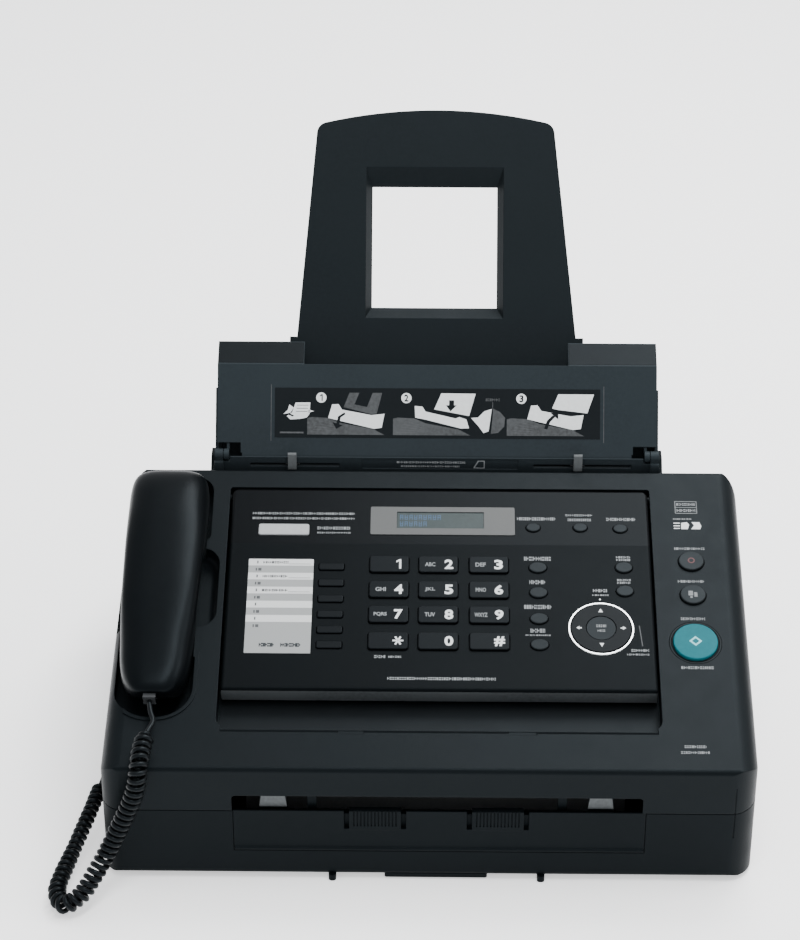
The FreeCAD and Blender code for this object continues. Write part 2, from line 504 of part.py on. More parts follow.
plug_h = fuse([box(PLUG_H[0] - 4.2, PLUG_H[0] + 4.2, 49.8, 61.0, PLUG_H[1] - 3.9, PLUG_H[1] + 3.9)])
add("cord_plug_handset", S(plug_h))
plug_b = fuse([box(JACK[0] - 4.0, JACK[0] + 4.0, JACK[1] - 3.2, JACK[1] + 8.8, JACK[2] - 4.2, JACK[2] + 4.2),
               box(JACK[0], -207.0, JACK[1], JACK[1] + 8.8, JACK[2] - 4.2, JACK[2] + 4.2)])
add("cord_plug_base", plug_b)

# ---------------------------------------------------------------- cord: thin wire, one fat tube for the curly part, thin wire
def sp(x, s, t):
    return PS.multVec(V(x, s, t))
P0 = sp(PLUG_H[0], 49.8 - PLUG_GAP, PLUG_H[1])
ROUTE = [P0, sp(-188.0, 41.0, 7.4), V(-184.4, 29.0, 109.8), V(-188.2, 19.5, 109.8), V(-191.0, 7.0, 106.2), V(-192.4, -9.0, 100.6),
         V(-194.0, -12.5, 85.0), V(-201.4, -13.5, 66.3), V(-209.8, -15.5, 47.8), V(-218.0, -20.5, 31.9), V(-226.4, -28.6, 19.8),
         V(-231.4, -34.4, 13.8), V(-243.6, -40.4, 7.6), V(-250.4, -26.0, 9.4), V(-246.4, -11.0, 13.4), V(-241.4, 6.0, 17.2), V(-236.8, 21.0, 22.4),
         V(-232.0, 36.5, 27.4), V(-228.6, 52.0, 30.0), V(-226.5, 63.0, 31.2), V(-225.0, 75.0, 31.9), V(JACK[0], JACK[1] - 3.2 - PLUG_GAP, JACK[2])]
THIN_A, THIN_B = 4, 18       # route corners where the curly part begins and ends
def tube(points, d, first_cap=True):
    edges = []
    n = len(points)
    prev = points[0]
    radii = []
    for i in range(1, n - 1):
        p = points[i]
        a = (points[i - 1] - p); b = (points[i + 1] - p)
        la, lb = a.Length, b.Length
        a.normalize(); b.normalize()
        turn = math.pi - a.getAngle(b)
        shorter = min(la, lb)
        R = 0.45 * shorter / math.tan(turn / 2.0) if turn > 1e-4 else 1e9
        L = 0.45 * shorter
        t0 = p + a * L; t1 = p + b * L
        bis = (a + b).normalize()
        mid = p + bis * (R / math.cos(turn / 2.0) - R)
        edges.append(Part.makeLine(prev, t0))
        edges.append(Part.Arc(t0, mid, t1).toShape())
        prev = t1
        radii.append((i, round(R, 1), round(math.degrees(turn), 1)))
    edges.append(Part.makeLine(prev, points[-1]))
    w = Part.Wire(edges)
    d0 = (points[1] - points[0]).normalize()
    prof = Part.Wire([Part.Circle(points[0], d0, d / 2.0).toShape()])
    ps = w.makePipeShell([prof], True, False)
    return ps, w.Length, radii
# the curly tube starts and ends half way along the straight runs that carry it
def lerp(a, b, f):
    return a + (b - a) * f
A_ = lerp(ROUTE[THIN_A], ROUTE[THIN_A - 1], 0.30)
B_ = lerp(ROUTE[THIN_B], ROUTE[THIN_B + 1], 0.45)
fat, Lf, radii = tube([A_] + ROUTE[THIN_A:THIN_B + 1] + [B_], CORD_D)
thin1, L1, r1 = tube(ROUTE[:THIN_A] + [A_], WIRE_D)
thin2, L2, r2 = tube([B_] + ROUTE[THIN_B + 1:], WIRE_D)
print("curly tube length %.1f radii" % Lf, radii)
print("lead-in %.1f" % L1, r1, "lead-out %.1f" % L2, r2)
print("curly volume %.1f, section x length %.1f" % (fat.Volume, math.pi * CORD_D ** 2 / 4 * Lf))
cord = fat.fuse([thin1, thin2])
add("handset_cord", cord)

# ---------------------------------------------------------------- paper tray
def tray_pt(v, w):
    q = PT.multVec(V(0, v, w))
    return q.y, q.z
TX0, TX1 = -157.4, 160.4
wall_low = 108.0
pieces = []
# back plate, its two cheeks, and the upright wall behind the document slot
pieces.append(T(box(TX0, TX1, -58, 62, -34, -31.5)))
for x0, x1 in ((TX0, TX0 + 2.6), (TX1 - 2.6, TX1)):
    pieces.append(T(box(x0, x1, -58, 48, -34, -5)))
    pieces.append(px([(258.5, wall_low, 0), (264, wall_low, 0), (281, 143, 0), (270, 166, 0), (258.5, 166, 0)], x0, x1))
pieces.append(box(TX0, TX1, 258.5, 261.0, wall_low, 166.8))
pieces.append(box(-146.5, 149.5, 258.5, 259.6, 160, 170.8))
# flared side skirts beside the document slot
pieces.append(py([(TX0 - 3.0, 148, 0), (TX0 + 6, 148, 0), (TX0 + 6, 168, 0), (TX0, 168, 0)], 255.4, 259))
pieces.append(py([(TX1 - 6, 148, 0), (TX1 + 3.0, 148, 0), (TX1, 168, 0), (TX1 - 6, 168, 0)], 255.4, 259))
# hinge knuckles of the tray cover
for x0, x1 in ((TX0, TX0 + 6.0), (TX1 - 6.0, TX1)):
    pieces.append(cylx(x0, x1, TRAY_Y, TRAY_Z, 4.0))
    pieces.append(px([(258.5, 160, 0), (266, 160, 0), (265.3, TRAY_Z, 0), (257.5, TRAY_Z, 0)], x0, x1))
# rails for the paper support
for sgn, xr in ((-1, -101.0), (1, 103.0)):
    xa, xb = (xr - 2.5, xr) if sgn < 0 else (xr, xr + 2.5)
    xl, xm = (xr - 2.5, xr + 4.5) if sgn < 0 else (xr - 4.5, xr + 2.5)
    pieces.append(T(box(xa, xb, 4, 77.6, -31.6, -25.4)))
    pieces.append(T(box(xl, xm, 4, 60, -27.2, -25.4)))
# two rests that stand on the base rails
for x0, x1 in ((TX0 - 0.0, TX0 + 2.6), (TX1 - 2.6, TX1)):
    pieces.append(px([(262, 60, 0), (284, 60, 0), (284, 112, 0), (281, 142, 0), (262, 142, 0)], x0, x1))
ptray = fuse(pieces)
PICK_V, PICK_W, PICK_R = -46.0, -13.0, 11.0
tcuts = [T(cylx(TX0 - 1, TX1 + 1, PICK_V, PICK_W, 3.06)),
         cylx(TX0 - 1, TX0 + 7, TRAY_Y, TRAY_Z, 2.56), cylx(TX1 - 7, TX1 + 1, TRAY_Y, TRAY_Z, 2.56),
         box(-132, -68, 257, 262, 163.0, 165.8), box(71, 141, 257, 262, 163.0, 165.8)]
# feed window over the pickup roller and a small icon recess
tcuts.append(py([(-52, 161.6, 1), (60, 161.6, 1), (60, 169.6, 1), (-52, 169.6, 1)], 257, 258.9))
tcuts += [box(-240, 240, 200, 252.3, 90, 200), box(-240, 240, 200, 255.0, 150, 200)]   # room for the cover's rear edge as it swings
ptray = ptray.cut(tcuts)
add("paper_tray", ptray)
pr = [cylx(TX0 + 0.3, TX1 - 0.3, PICK_V, PICK_W, 3.0), cylx(-30, 30, PICK_V, PICK_W, PICK_R), cylx(-100, -92, PICK_V, PICK_W, PICK_R - 1.5), cylx(92, 100, PICK_V, PICK_W, PICK_R - 1.5)]
add("pickup_roller", T(fuse(pr)))
# document guides
for nm, x0 in (("guide_left", -101.8), ("guide_right", 102.6)):
    g = fuse([px([(255.2, 162.0, 0.6), (258.1, 162.0, 0), (258.1, 174.4, 0.8), (256.6, 176.0, 0.6), (255.2, 174.8, 0.6)], x0 - 3.1, x0 + 3.1),
              box(x0 - 2.6, x0 + 2.6, 258.0, 263.0, 163.3, 165.5),
              box(x0 - 5, x0 + 5, 261.4, 263.0, 160.4, 166.9)])
    add(nm, g)
# tray cover: leaning plate with a bent-back lip on either side
plate = [pz([(-156, 1.2, 0), (159, 1.2, 0), (159, 65.0, 0), (-156, 65.0, 0)], -2.2, 0.0)]
lip_dir = (0.866, -0.5)
for x0, x1 in ((-156.0, -94.0), (95.6, 159.0)):
    v0, w0 = 64.0, 0.0
    plate.append(px([(v0 - 1.3, -2.2, 0), (v0 - 0.0, 0.0, 0.8), (v0 + 18.0, -11.0, 0), (v0 + 16.9, -12.9, 0)], x0, x1))
plate.append(box(-138.0, 141.0, -2.0, 2.0, -2.2, 0.0))
tc = fuse(plate)
# open corners over the hinge barrels
tc = tc.cut([box(-158, -139.0, -6, 8.4, -8, 8), box(142.0, 162, -6, 7.0, -8, 8)])
for x0, x1 in ((-150.9, -147.2), (150.2, 153.9)):
    tc = tc.fuse(cylx(x0, x1, 0, 0, 4.0))
tc = fuse([tc, cylx(-156.4, -150.5, 0, 0, 2.5), cylx(153.5, 159.4, 0, 0, 2.5)])
# side ribs of the plate
tc = fuse([tc, box(-149, -147, 3, 62, -7.5, -1), box(150, 152, 3, 62, -7.5, -1)])
add("tray_cover", T(tc))
# paper support
def L(a, b):
    return Part.makeLine(V(a[0], a[1], -30.2), V(b[0], b[1], -30.2))
outline = [L((-97.0, 14), (98.6, 14)), L((98.6, 14), (98.6, 78.0)), L((98.6, 78.0), (103.0, 78.0)), L((103.0, 78.0), (86.0, 236.0)),
           Part.Arc(V(86.0, 236.0, -30.2), V(84.0, 241.4, -30.2), V(79.0, 244.3, -30.2)).toShape(),
           Part.Arc(V(79.0, 244.3, -30.2), V(0.2, 252.9, -30.2), V(-80.5, 243.7, -30.2)).toShape(),
           Part.Arc(V(-80.5, 243.7, -30.2), V(-85.3, 240.8, -30.2), V(-87.2, 235.4, -30.2)).toShape(),
           L((-87.2, 235.4), (-101.2, 78.0)), L((-101.2, 78.0), (-97.0, 78.0)), L((-97.0, 78.0), (-97.0, 14))]
sup = Part.Face(Part.Wire(outline)).extrude(V(0, 0, 2.2))
# window with its bevelled rim
WX0, WX1, WV0, WV1 = -46.4, 44.6, 109.0, 197.5
rim = rr(WX0 - 6.6, WX1 + 6.6, WV0 - 10.2, WV1 + 16.0, 4, -37.0, -30.1)
sup = fuse([sup, rim])
def rect_wire(x0, x1, v0, v1, w):
    p = [V(x0, v0, w), V(x1, v0, w), V(x1, v1, w), V(x0, v1, w), V(x0, v0, w)]
    return Part.makePolygon(p)
funnel = Part.makeLoft([rect_wire(WX0 - 4.6, WX1 + 4.6, WV0 - 8.2, WV1 + 14.0, -27.9), rect_wire(WX0, WX1, WV0, WV1, -35.0)], True, True)
sup = sup.cut([funnel, box(WX0, WX1, WV0, WV1, -40, -26)])
# ears at the foot of the support
sup = fuse([sup, box(-105.6, -100.2, 79.0, 87.0, -33.0, -28.0), box(101.0, 107.4, 79.0, 87.0, -33.0, -28.0)])
add("paper_support", T(sup))

# ---------------------------------------------------------------- inner units
er = [cylx(-153.6, 153.6, 17, 65.5, 3.0)]
for x in (-106, -38, 43, 111):
    er.append(cylx(x - 9, x + 9, 17, 65.5, 5.6))
add("exit_roller", fuse(er))
fus = fuse([box(-126, 130, 34, 62, 24, 54), box(-120, 124, 44, 56, 53, 60), cylx(-118, 122, 40, 53, 6.0)])
add("fuser_unit", fus)
las = fuse([box(-114, 118, 138, 236, 20, 44), box(-60, 60, 128, 139, 24, 40)])
add("laser_unit", las)
ton = fuse([px([(150, 44.0, 4), (232, 44.0, 0), (232, 100, 6), (206, 112, 6), (150, 104, 6)], -112, 116), box(-20, 24, 205, 231, 98, 114)])
drum = fuse([px([(128, 44.0, 0), (149.6, 44.0, 0), (149.6, 84, 3), (112, 84, 6), (100, 62, 6), (112, 50, 3)], -112, 116).cut(cylx(-109, 113, 112, 62, 12.5)),
             cylx(-112.0, 116.0, 112, 62, 12.0)])
add("toner_drum_cartridge", ton, drum)
boards = []
mb = box(-192, 100, 114, 288, 12, 13.6)
boards.append(mb)
for x in (-186.0, -166.0):
    j = box(x - 7, x + 7, 284, 299.8, 16, 31).cut(box(x - 5, x + 5, 287, 301, 18.6, 26.6)).cut(box(x - 3, x + 3, 287, 301, 18.0, 28.6))
    boards.append(fuse([j, box(x - 6, x + 6, 284, 288, 13.6, 16.4)]))
u = box(-146.5, -133.5, 284, 299.8, 16, 28).cut(box(-144.3, -135.7, 288, 301, 18, 26))
boards.append(fuse([u, box(-145, -135, 284, 288, 13.6, 16.4)]))
ac = py([(151, 18, 2), (179, 18, 2), (179, 38, 2), (151, 38, 2)], 276, 299.8).cut(py([(153.5, 20.5, 1), (176.5, 20.5, 1), (176.5, 35.5, 3), (153.5, 35.5, 3)], 281, 301))
for x, z in ((165.0, 30.6), (158.5, 25.4), (171.5, 25.4)):
    ac = ac.fuse(box(x - 1.0, x + 1.0, 280, 292.5, z - 2.0, z + 2.0))
psu = box(124, 205, 150, 278, 12, 13.6)
boards.append(fuse([ac, box(153, 177, 276, 279, 13.6, 19)]))
boards.append(fuse([psu] + [cylz(x, y, BASE_BOTTOM + WALL, 12.5, 3) for x in (130, 199) for y in (156, 270)] + [box(135, 175, 170, 215, 13, 45), cylz(190, 200, 13, 40, 9)]))
add("circuit_boards", *boards)

# ---------------------------------------------------------------- write
os.makedirs("parts", exist_ok=True)
for f in os.listdir("parts"):
    if f.endswith(".step"):
        os.remove(os.path.join("parts", f))
mv = V(0, YF, 0)
tot = None
bad = 0
for name, solids in NODES.items():
    if not solids:
        print("EMPTY", name); bad += 1; continue
    moved = []
    for q in solids:
        q = q.copy()
        q.translate(mv)
        if not q.isValid():
            print("INVALID", name); bad += 1
        moved.append(q)
    sh = moved[0] if len(moved) == 1 else Part.makeCompound(moved)
    bb = sh.BoundBox
    if len(moved) > 1:
        print("solids", name, len(moved))
    sh.exportStep("parts/" + name + ".step")
    if tot is None:
        tot = FreeCAD.BoundBox(bb)
    else:
        tot.add(bb)
print("nodes", len(NODES), "bad", bad, "box x %.2f..%.2f y %.2f..%.2f z %.2f..%.2f" % (tot.XMin, tot.XMax, tot.YMin, tot.YMax, tot.ZMin, tot.ZMax))
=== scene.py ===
import bpy, bmesh, math
import numpy as np
from mathutils import Vector, Matrix


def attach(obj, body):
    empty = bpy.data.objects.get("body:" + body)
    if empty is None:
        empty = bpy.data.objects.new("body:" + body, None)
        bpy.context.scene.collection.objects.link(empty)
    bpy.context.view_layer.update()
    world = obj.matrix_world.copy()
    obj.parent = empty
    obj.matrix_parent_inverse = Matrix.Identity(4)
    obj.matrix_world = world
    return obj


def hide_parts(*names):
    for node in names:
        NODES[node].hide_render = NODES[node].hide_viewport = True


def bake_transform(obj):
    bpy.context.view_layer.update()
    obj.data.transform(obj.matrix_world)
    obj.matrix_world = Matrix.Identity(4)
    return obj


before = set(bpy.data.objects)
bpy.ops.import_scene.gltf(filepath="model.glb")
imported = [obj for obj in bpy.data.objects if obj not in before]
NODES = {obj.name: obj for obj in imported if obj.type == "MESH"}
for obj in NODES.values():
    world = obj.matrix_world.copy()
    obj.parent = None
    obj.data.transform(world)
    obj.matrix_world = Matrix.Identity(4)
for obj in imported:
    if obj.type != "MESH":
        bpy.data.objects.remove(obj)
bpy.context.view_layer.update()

YF = -0.2156
MM = 0.001
SL = math.radians(16.0)
cS, sS = math.cos(SL), math.sin(SL)
TT = math.radians(35.0)
cT, sT = math.cos(TT), math.sin(TT)


def W(x, y, z):
    return Vector((x * MM, y * MM + YF, z * MM))


def S(x, s, t):
    """a point of the sloped top: x across, s up the slope, t above it, in mm"""
    return W(x, s * cS - t * sS, 93.24 + s * sS + t * cS)


def T(x, v, w):
    """a point of the leaning paper tray"""
    return W(x, 261.4 + v * sT - w * cT, 171.2 + v * cT + w * sT)


def FR(x, z, d):
    """a point in front of the front face"""
    return W(x, -d, z)


# ------------------------------------------------------------------ camera
cam_data = bpy.data.cameras.new("Camera")
cam = bpy.data.objects.new("Camera", cam_data)
bpy.context.scene.collection.objects.link(cam)
bpy.context.scene.camera = cam
el, az, dist = math.radians(33.0), math.radians(0.7), 2.3839
tgt = W(-27.7, 505.55, 0.0)
cam.location = tgt + dist * Vector((math.sin(az) * math.cos(el), -math.cos(az) * math.cos(el), math.sin(el)))
cam.rotation_euler = (tgt - cam.location).to_track_quat("-Z", "Y").to_euler()
cam_data.sensor_width = 36.0
cam_data.sensor_fit = "AUTO"
cam_data.lens = 111.52
cam_data.clip_start = 0.05
cam_data.clip_end = 30.0


# ------------------------------------------------------------------ materials
def nd(nt, kind, **kw):
    n = nt.nodes.new(kind)
    for k, v in kw.items():
        setattr(n, k, v)
    return n


def mix(nt, fac, a, b):
    m = nt.nodes.new("ShaderNodeMix")
    m.data_type = "RGBA"
    if isinstance(fac, float):
        m.inputs[0].default_value = fac
    else:
        nt.links.new(fac, m.inputs[0])
    for sock, val in ((m.inputs[6], a), (m.inputs[7], b)):
        if isinstance(val, (tuple, list)):
            sock.default_value = (*val[:3], 1.0)
        else:
            nt.links.new(val, sock)
    return m.outputs[2]


def ramp(nt, fac, p0, p1, c0=(0, 0, 0, 1), c1=(1, 1, 1, 1)):
    r = nt.nodes.new("ShaderNodeValToRGB")
    r.color_ramp.elements[0].position = p0
    r.color_ramp.elements[1].position = p1
    r.color_ramp.elements[0].color = c0
    r.color_ramp.elements[1].color = c1
    nt.links.new(fac, r.inputs[0])
    return r.outputs[0]


def noise(nt, vec, scale, detail=2.0, rough=0.5):
    n = nt.nodes.new("ShaderNodeTexNoise")
    n.inputs["Scale"].default_value = scale
    n.inputs["Detail"].default_value = detail
    n.inputs["Roughness"].default_value = rough
    nt.links.new(vec, n.inputs["Vector"])
    return n.outputs["Fac"]


def plastic(name, col, rough=0.45, grain=2600.0, grain_amt=0.10, var=0.12, coat=0.0, spec=0.11, edge=0.0007, rough_var=0.08, metallic=0.0, ior=None, sheen=0.0):
    m = bpy.data.materials.new(name)
    m.use_nodes = True
    nt = m.node_tree
    nt.nodes.clear()
    out = nt.nodes.new("ShaderNodeOutputMaterial")
    b = nt.nodes.new("ShaderNodeBsdfPrincipled")
    nt.links.new(b.outputs[0], out.inputs[0])
    tc = nt.nodes.new("ShaderNodeTexCoord")
    obj = tc.outputs["Object"]
    big = noise(nt, obj, 14.0, 3.0)
    small = noise(nt, obj, 420.0, 2.0)
    lo = tuple(c * (1.0 - var) for c in col)
    hi = tuple(min(1.0, c * (1.0 + var)) for c in col)
    c1 = mix(nt, ramp(nt, big, 0.35, 0.65), lo, hi)
    c2 = mix(nt, ramp(nt, small, 0.3, 0.75), c1, tuple(min(1.0, c * (1.0 + var * 1.2)) for c in col))
    nt.links.new(c2, b.inputs["Base Color"])
    mr = nt.nodes.new("ShaderNodeMapRange")
    mr.inputs["To Min"].default_value = max(0.02, rough - rough_var)
    mr.inputs["To Max"].default_value = min(1.0, rough + rough_var)
    nt.links.new(noise(nt, obj, 60.0, 4.0, 0.6), mr.inputs["Value"])
    nt.links.new(mr.outputs[0], b.inputs["Roughness"])
    b.inputs["Specular IOR Level"].default_value = spec
    b.inputs["Metallic"].default_value = metallic
    if max(col) < 0.03:
        b.inputs["Specular Tint"].default_value = (0.74, 0.90, 1.0, 1.0)
    b.inputs["Coat Weight"].default_value = coat
    b.inputs["Coat Roughness"].default_value = 0.08
    if sheen:
        b.inputs["Sheen Weight"].default_value = sheen
    bv = nt.nodes.new("ShaderNodeBevel")
    bv.samples = 4
    bv.inputs["Radius"].default_value = edge
    bp = nt.nodes.new("ShaderNodeBump")
    bp.inputs["Strength"].default_value = grain_amt
    bp.inputs["Distance"].default_value = 0.0002
    vor = nt.nodes.new("ShaderNodeTexVoronoi")
    vor.inputs["Scale"].default_value = grain
    nt.links.new(obj, vor.inputs["Vector"])
    nt.links.new(vor.outputs["Distance"], bp.inputs["Height"])
    nt.links.new(bv.outputs[0], bp.inputs["Normal"])
    nt.links.new(bp.outputs[0], b.inputs["Normal"])
    return m


def bsdf(m):
    return next(n for n in m.node_tree.nodes if n.type == "BSDF_PRINCIPLED")


BODY = (0.0022, 0.0031, 0.0037)
M = {}
M["body"] = plastic("charcoal_body_plastic", BODY, spec=0.065, rough=0.44, grain=2400, grain_amt=0.22, var=0.10)
M["cover"] = plastic("charcoal_cover_plastic", (0.0026, 0.0035, 0.0041), spec=0.080, rough=0.40, grain=2400, grain_amt=0.22, var=0.10)
M["tray"] = plastic("charcoal_tray_plastic", (0.0135, 0.0175, 0.0200), rough=0.5, grain=2200, grain_amt=0.25, var=0.10)
M["support"] = plastic("charcoal_support_plastic", (0.0042, 0.0056, 0.0064), rough=0.48, grain=2200, grain_amt=0.25, var=0.10)
M["gloss"] = plastic("gloss_black_plastic", (0.0018, 0.0020, 0.0024), spec=0.05, rough=0.30, grain=900, grain_amt=0.015, var=0.1, coat=0.02, rough_var=0.03)
M["keyblack"] = plastic("keypad_gloss_plastic", (0.0016, 0.0018, 0.0022), spec=0.07, rough=0.36, grain=1600, grain_amt=0.04, var=0.12, rough_var=0.04, edge=0.0005)
M["keydark"] = plastic("small_key_rubber_plastic", (0.0056, 0.0066, 0.0072), rough=0.40, grain=2200, grain_amt=0.10, var=0.12, edge=0.0006)
M["keygrey"] = plastic("light_grey_key_plastic", (0.30, 0.31, 0.315), rough=0.42, grain=2200, grain_amt=0.12, var=0.06)
M["teal"] = plastic("teal_key_plastic", (0.006, 0.100, 0.120), spec=0.06, rough=0.42, grain=2000, grain_amt=0.08, var=0.10, edge=0.0008)
M["handset"] = plastic("handset_satin_plastic", (0.0014, 0.0018, 0.0022), spec=0.07, rough=0.34, grain=2400, grain_amt=0.10, var=0.10, rough_var=0.05)
M["rubber"] = plastic("black_rubber", (0.010, 0.0105, 0.011), rough=0.75, grain=1400, grain_amt=0.25, var=0.15)
M["inner"] = plastic("grey_inner_plastic", (0.10, 0.103, 0.105), rough=0.55, grain=1800, grain_amt=0.2, var=0.1)
M["innerdark"] = plastic("dark_inner_plastic", (0.018, 0.020, 0.022), rough=0.6, grain=1800, grain_amt=0.2, var=0.15)
M["white"] = plastic("white_print_ink", (0.62, 0.64, 0.64), rough=0.6, grain=4000, grain_amt=0.05, var=0.05, edge=0.0001)
M["greyprint"] = plastic("grey_print_ink", (0.17, 0.18, 0.185), rough=0.6, grain=4000, grain_amt=0.05, var=0.22, edge=0.0001)
M["darkprint"] = plastic("dark_print_ink", (0.06, 0.063, 0.066), rough=0.6, grain=4000, grain_amt=0.05, var=0.2, edge=0.0001)
M["labelbg"] = plastic("label_film_dark", (0.0046, 0.0054, 0.0060), rough=0.36, grain=3000, grain_amt=0.03, var=0.1, edge=0.0001)
M["labelgrey"] = plastic("label_print_grey", (0.045, 0.048, 0.050), rough=0.5, grain=3000, grain_amt=0.05, var=0.35, edge=0.0001)
# painted shade: near-black laid on the recess floor and on the tray cover's inner lips, where shade falls
M["lipdark"] = plastic("painted_shade_black", (0.0020, 0.0023, 0.0026), rough=0.42, grain=2200, grain_amt=0.15, var=0.1)
# painted highlight: a paler colour for the panel's front end face, in place of the light that face catches
M["edgelight"] = plastic("painted_highlight_front_edge", (0.055, 0.061, 0.064), rough=0.5, grain=2200, grain_amt=0.15, var=0.2)
M["flap"] = plastic("grey_flap_plastic", (0.085, 0.092, 0.095), rough=0.5, grain=2000, grain_amt=0.15, var=0.12)
M["silver"] = plastic("silver_ring", (0.72, 0.74, 0.75), rough=0.22, grain=3000, grain_amt=0.02, var=0.06, metallic=1.0, edge=0.0002)
M["plug"] = plastic("smoky_plug_plastic", (0.03, 0.032, 0.034), rough=0.18, grain=2000, grain_amt=0.03, var=0.1, coat=0.3)
M["cord"] = plastic("cord_vinyl", (0.0030, 0.0034, 0.0038), rough=0.32, grain=1800, grain_amt=0.08, var=0.15, rough_var=0.06)
M["red"] = plastic("stop_mark_ink", (0.10, 0.050, 0.052), rough=0.6, grain=4000, grain_amt=0.05, var=0.1, edge=0.0001)
M["tealmark"] = plastic("start_mark_ink", (0.22, 0.52, 0.55), rough=0.5, grain=4000, grain_amt=0.05, var=0.08, edge=0.0001)


def card_material():
    m = plastic("directory_card_paper", (0.55, 0.56, 0.56), rough=0.7, grain=3000, grain_amt=0.06, var=0.04, edge=0.0001)
    nt = m.node_tree
    b = bsdf(m)
    tc = next(n for n in nt.nodes if n.type == "TEX_COORD")
    # distance up the slope from the foot of the card, in stripes 6.5 mm wide
    dot = nt.nodes.new("ShaderNodeVectorMath"); dot.operation = "DOT_PRODUCT"
    dot.inputs[1].default_value = (0.0, cS, sS)
    nt.links.new(tc.outputs["Object"], dot.inputs[0])
    p0 = S(0, 115.6, 0)
    base = p0.y * cS + p0.z * sS
    sub = nt.nodes.new("ShaderNodeMath"); sub.operation = "SUBTRACT"; sub.inputs[1].default_value = base
    nt.links.new(dot.outputs["Value"], sub.inputs[0])
    div = nt.nodes.new("ShaderNodeMath"); div.operation = "DIVIDE"; div.inputs[1].default_value = 0.0124
    nt.links.new(sub.outputs[0], div.inputs[0])
    fr = nt.nodes.new("ShaderNodeMath"); fr.operation = "FRACT"
    nt.links.new(div.outputs[0], fr.inputs[0])
    gt = nt.nodes.new("ShaderNodeMath"); gt.operation = "GREATER_THAN"; gt.inputs[1].default_value = 0.52
    nt.links.new(fr.outputs[0], gt.inputs[0])
    above = nt.nodes.new("ShaderNodeMath"); above.operation = "GREATER_THAN"; above.inputs[1].default_value = 0.0
    nt.links.new(sub.outputs[0], above.inputs[0])
    both = nt.nodes.new("ShaderNodeMath"); both.operation = "MULTIPLY"
    nt.links.new(gt.outputs[0], both.inputs[0]); nt.links.new(above.outputs[0], both.inputs[1])
    old = b.inputs["Base Color"].links[0].from_socket
    col = mix(nt, both.outputs[0], (0.295, 0.305, 0.305), (0.60, 0.61, 0.61))
    mx = nt.nodes.new("ShaderNodeMix"); mx.data_type = "RGBA"; mx.blend_type = "MULTIPLY"; mx.inputs[0].default_value = 0.35
    nt.links.new(col, mx.inputs[6]); nt.links.new(old, mx.inputs[7])
    nt.links.new(mx.outputs[2], b.inputs["Base Color"])
    return m


M["card"] = card_material()


def panel_material():
    """satin panel whose upper strip is gloss black"""
    m = plastic("operation_panel_plastic", (0.0014, 0.0018, 0.0021), spec=0.045, rough=0.38, grain=2400, grain_amt=0.10, var=0.12, rough_var=0.05)
    nt = m.node_tree
    b = bsdf(m)
    tc = next(n for n in nt.nodes if n.type == "TEX_COORD")
    dot = nt.nodes.new("ShaderNodeVectorMath"); dot.operation = "DOT_PRODUCT"
    dot.inputs[1].default_value = (0.0, cS, sS)
    nt.links.new(tc.outputs["Object"], dot.inputs[0])
    p0 = S(0, 191.8, 1)
    base = p0.y * cS + p0.z * sS
    up = nt.nodes.new("ShaderNodeMath"); up.operation = "GREATER_THAN"; up.inputs[1].default_value = base
    nt.links.new(dot.outputs["Value"], up.inputs[0])
    old = b.inputs["Base Color"].links[0].from_socket
    # the upper strip, above s = 191.8 mm, gets a slightly lighter colour and a lower roughness
    nt.links.new(mix(nt, up.outputs[0], old, (0.0028, 0.0030, 0.0034)), b.inputs["Base Color"])
    oldr = b.inputs["Roughness"].links[0].from_socket
    mr = nt.nodes.new("ShaderNodeMix"); mr.data_type = "FLOAT"
    nt.links.new(up.outputs[0], mr.inputs[0]); nt.links.new(oldr, mr.inputs[2]); mr.inputs[3].default_value = 0.26
    nt.links.new(mr.outputs[0], b.inputs["Roughness"])
    return m


M["panel"] = panel_material()


def lcd_material():
    m = plastic("display_frame_and_glass", (0.075, 0.078, 0.078), rough=0.35, grain=2400, grain_amt=0.03, var=0.06, edge=0.0003)
    return m


M["lcd"] = lcd_material()
M["lcdglass"] = plastic("display_glass", (0.020, 0.030, 0.031), spec=0.08, rough=0.24, grain=800, grain_amt=0.01, var=0.25, coat=0.03, edge=0.0002)
M["lcdink"] = plastic("display_segments", (0.035, 0.070, 0.125), rough=0.3, grain=800, grain_amt=0.01, var=0.2, edge=0.0001)


def board_material():
    m = plastic("circuit_board_green", (0.012, 0.075, 0.035), rough=0.4, grain=900, grain_amt=0.1, var=0.3)
    nt = m.node_tree
    b = bsdf(m)
    tc = next(n for n in nt.nodes if n.type == "TEX_COORD")
    br = nt.nodes.new("ShaderNodeTexBrick")
    br.inputs["Scale"].default_value = 90.0
    br.inputs["Mortar Size"].default_value = 0.035
    nt.links.new(tc.outputs["Object"], br.inputs["Vector"])
    old = b.inputs["Base Color"].links[0].from_socket
    green = mix(nt, br.outputs["Fac"], old, (0.03, 0.13, 0.06))
    # the sockets at the rear edge are black
    sx = nt.nodes.new("ShaderNodeSeparateXYZ")
    nt.links.new(tc.outputs["Object"], sx.inputs[0])
    gt = nt.nodes.new("ShaderNodeMath"); gt.operation = "GREATER_THAN"; gt.inputs[1].default_value = 0.0700
    nt.links.new(sx.outputs[1], gt.inputs[0])
    nt.links.new(mix(nt, gt.outputs[0], green, (0.010, 0.011, 0.012)), b.inputs["Base Color"])
    return m


M["board"] = board_material()


def setmat(o, m):
    o.data.materials.clear()
    o.data.materials.append(m)


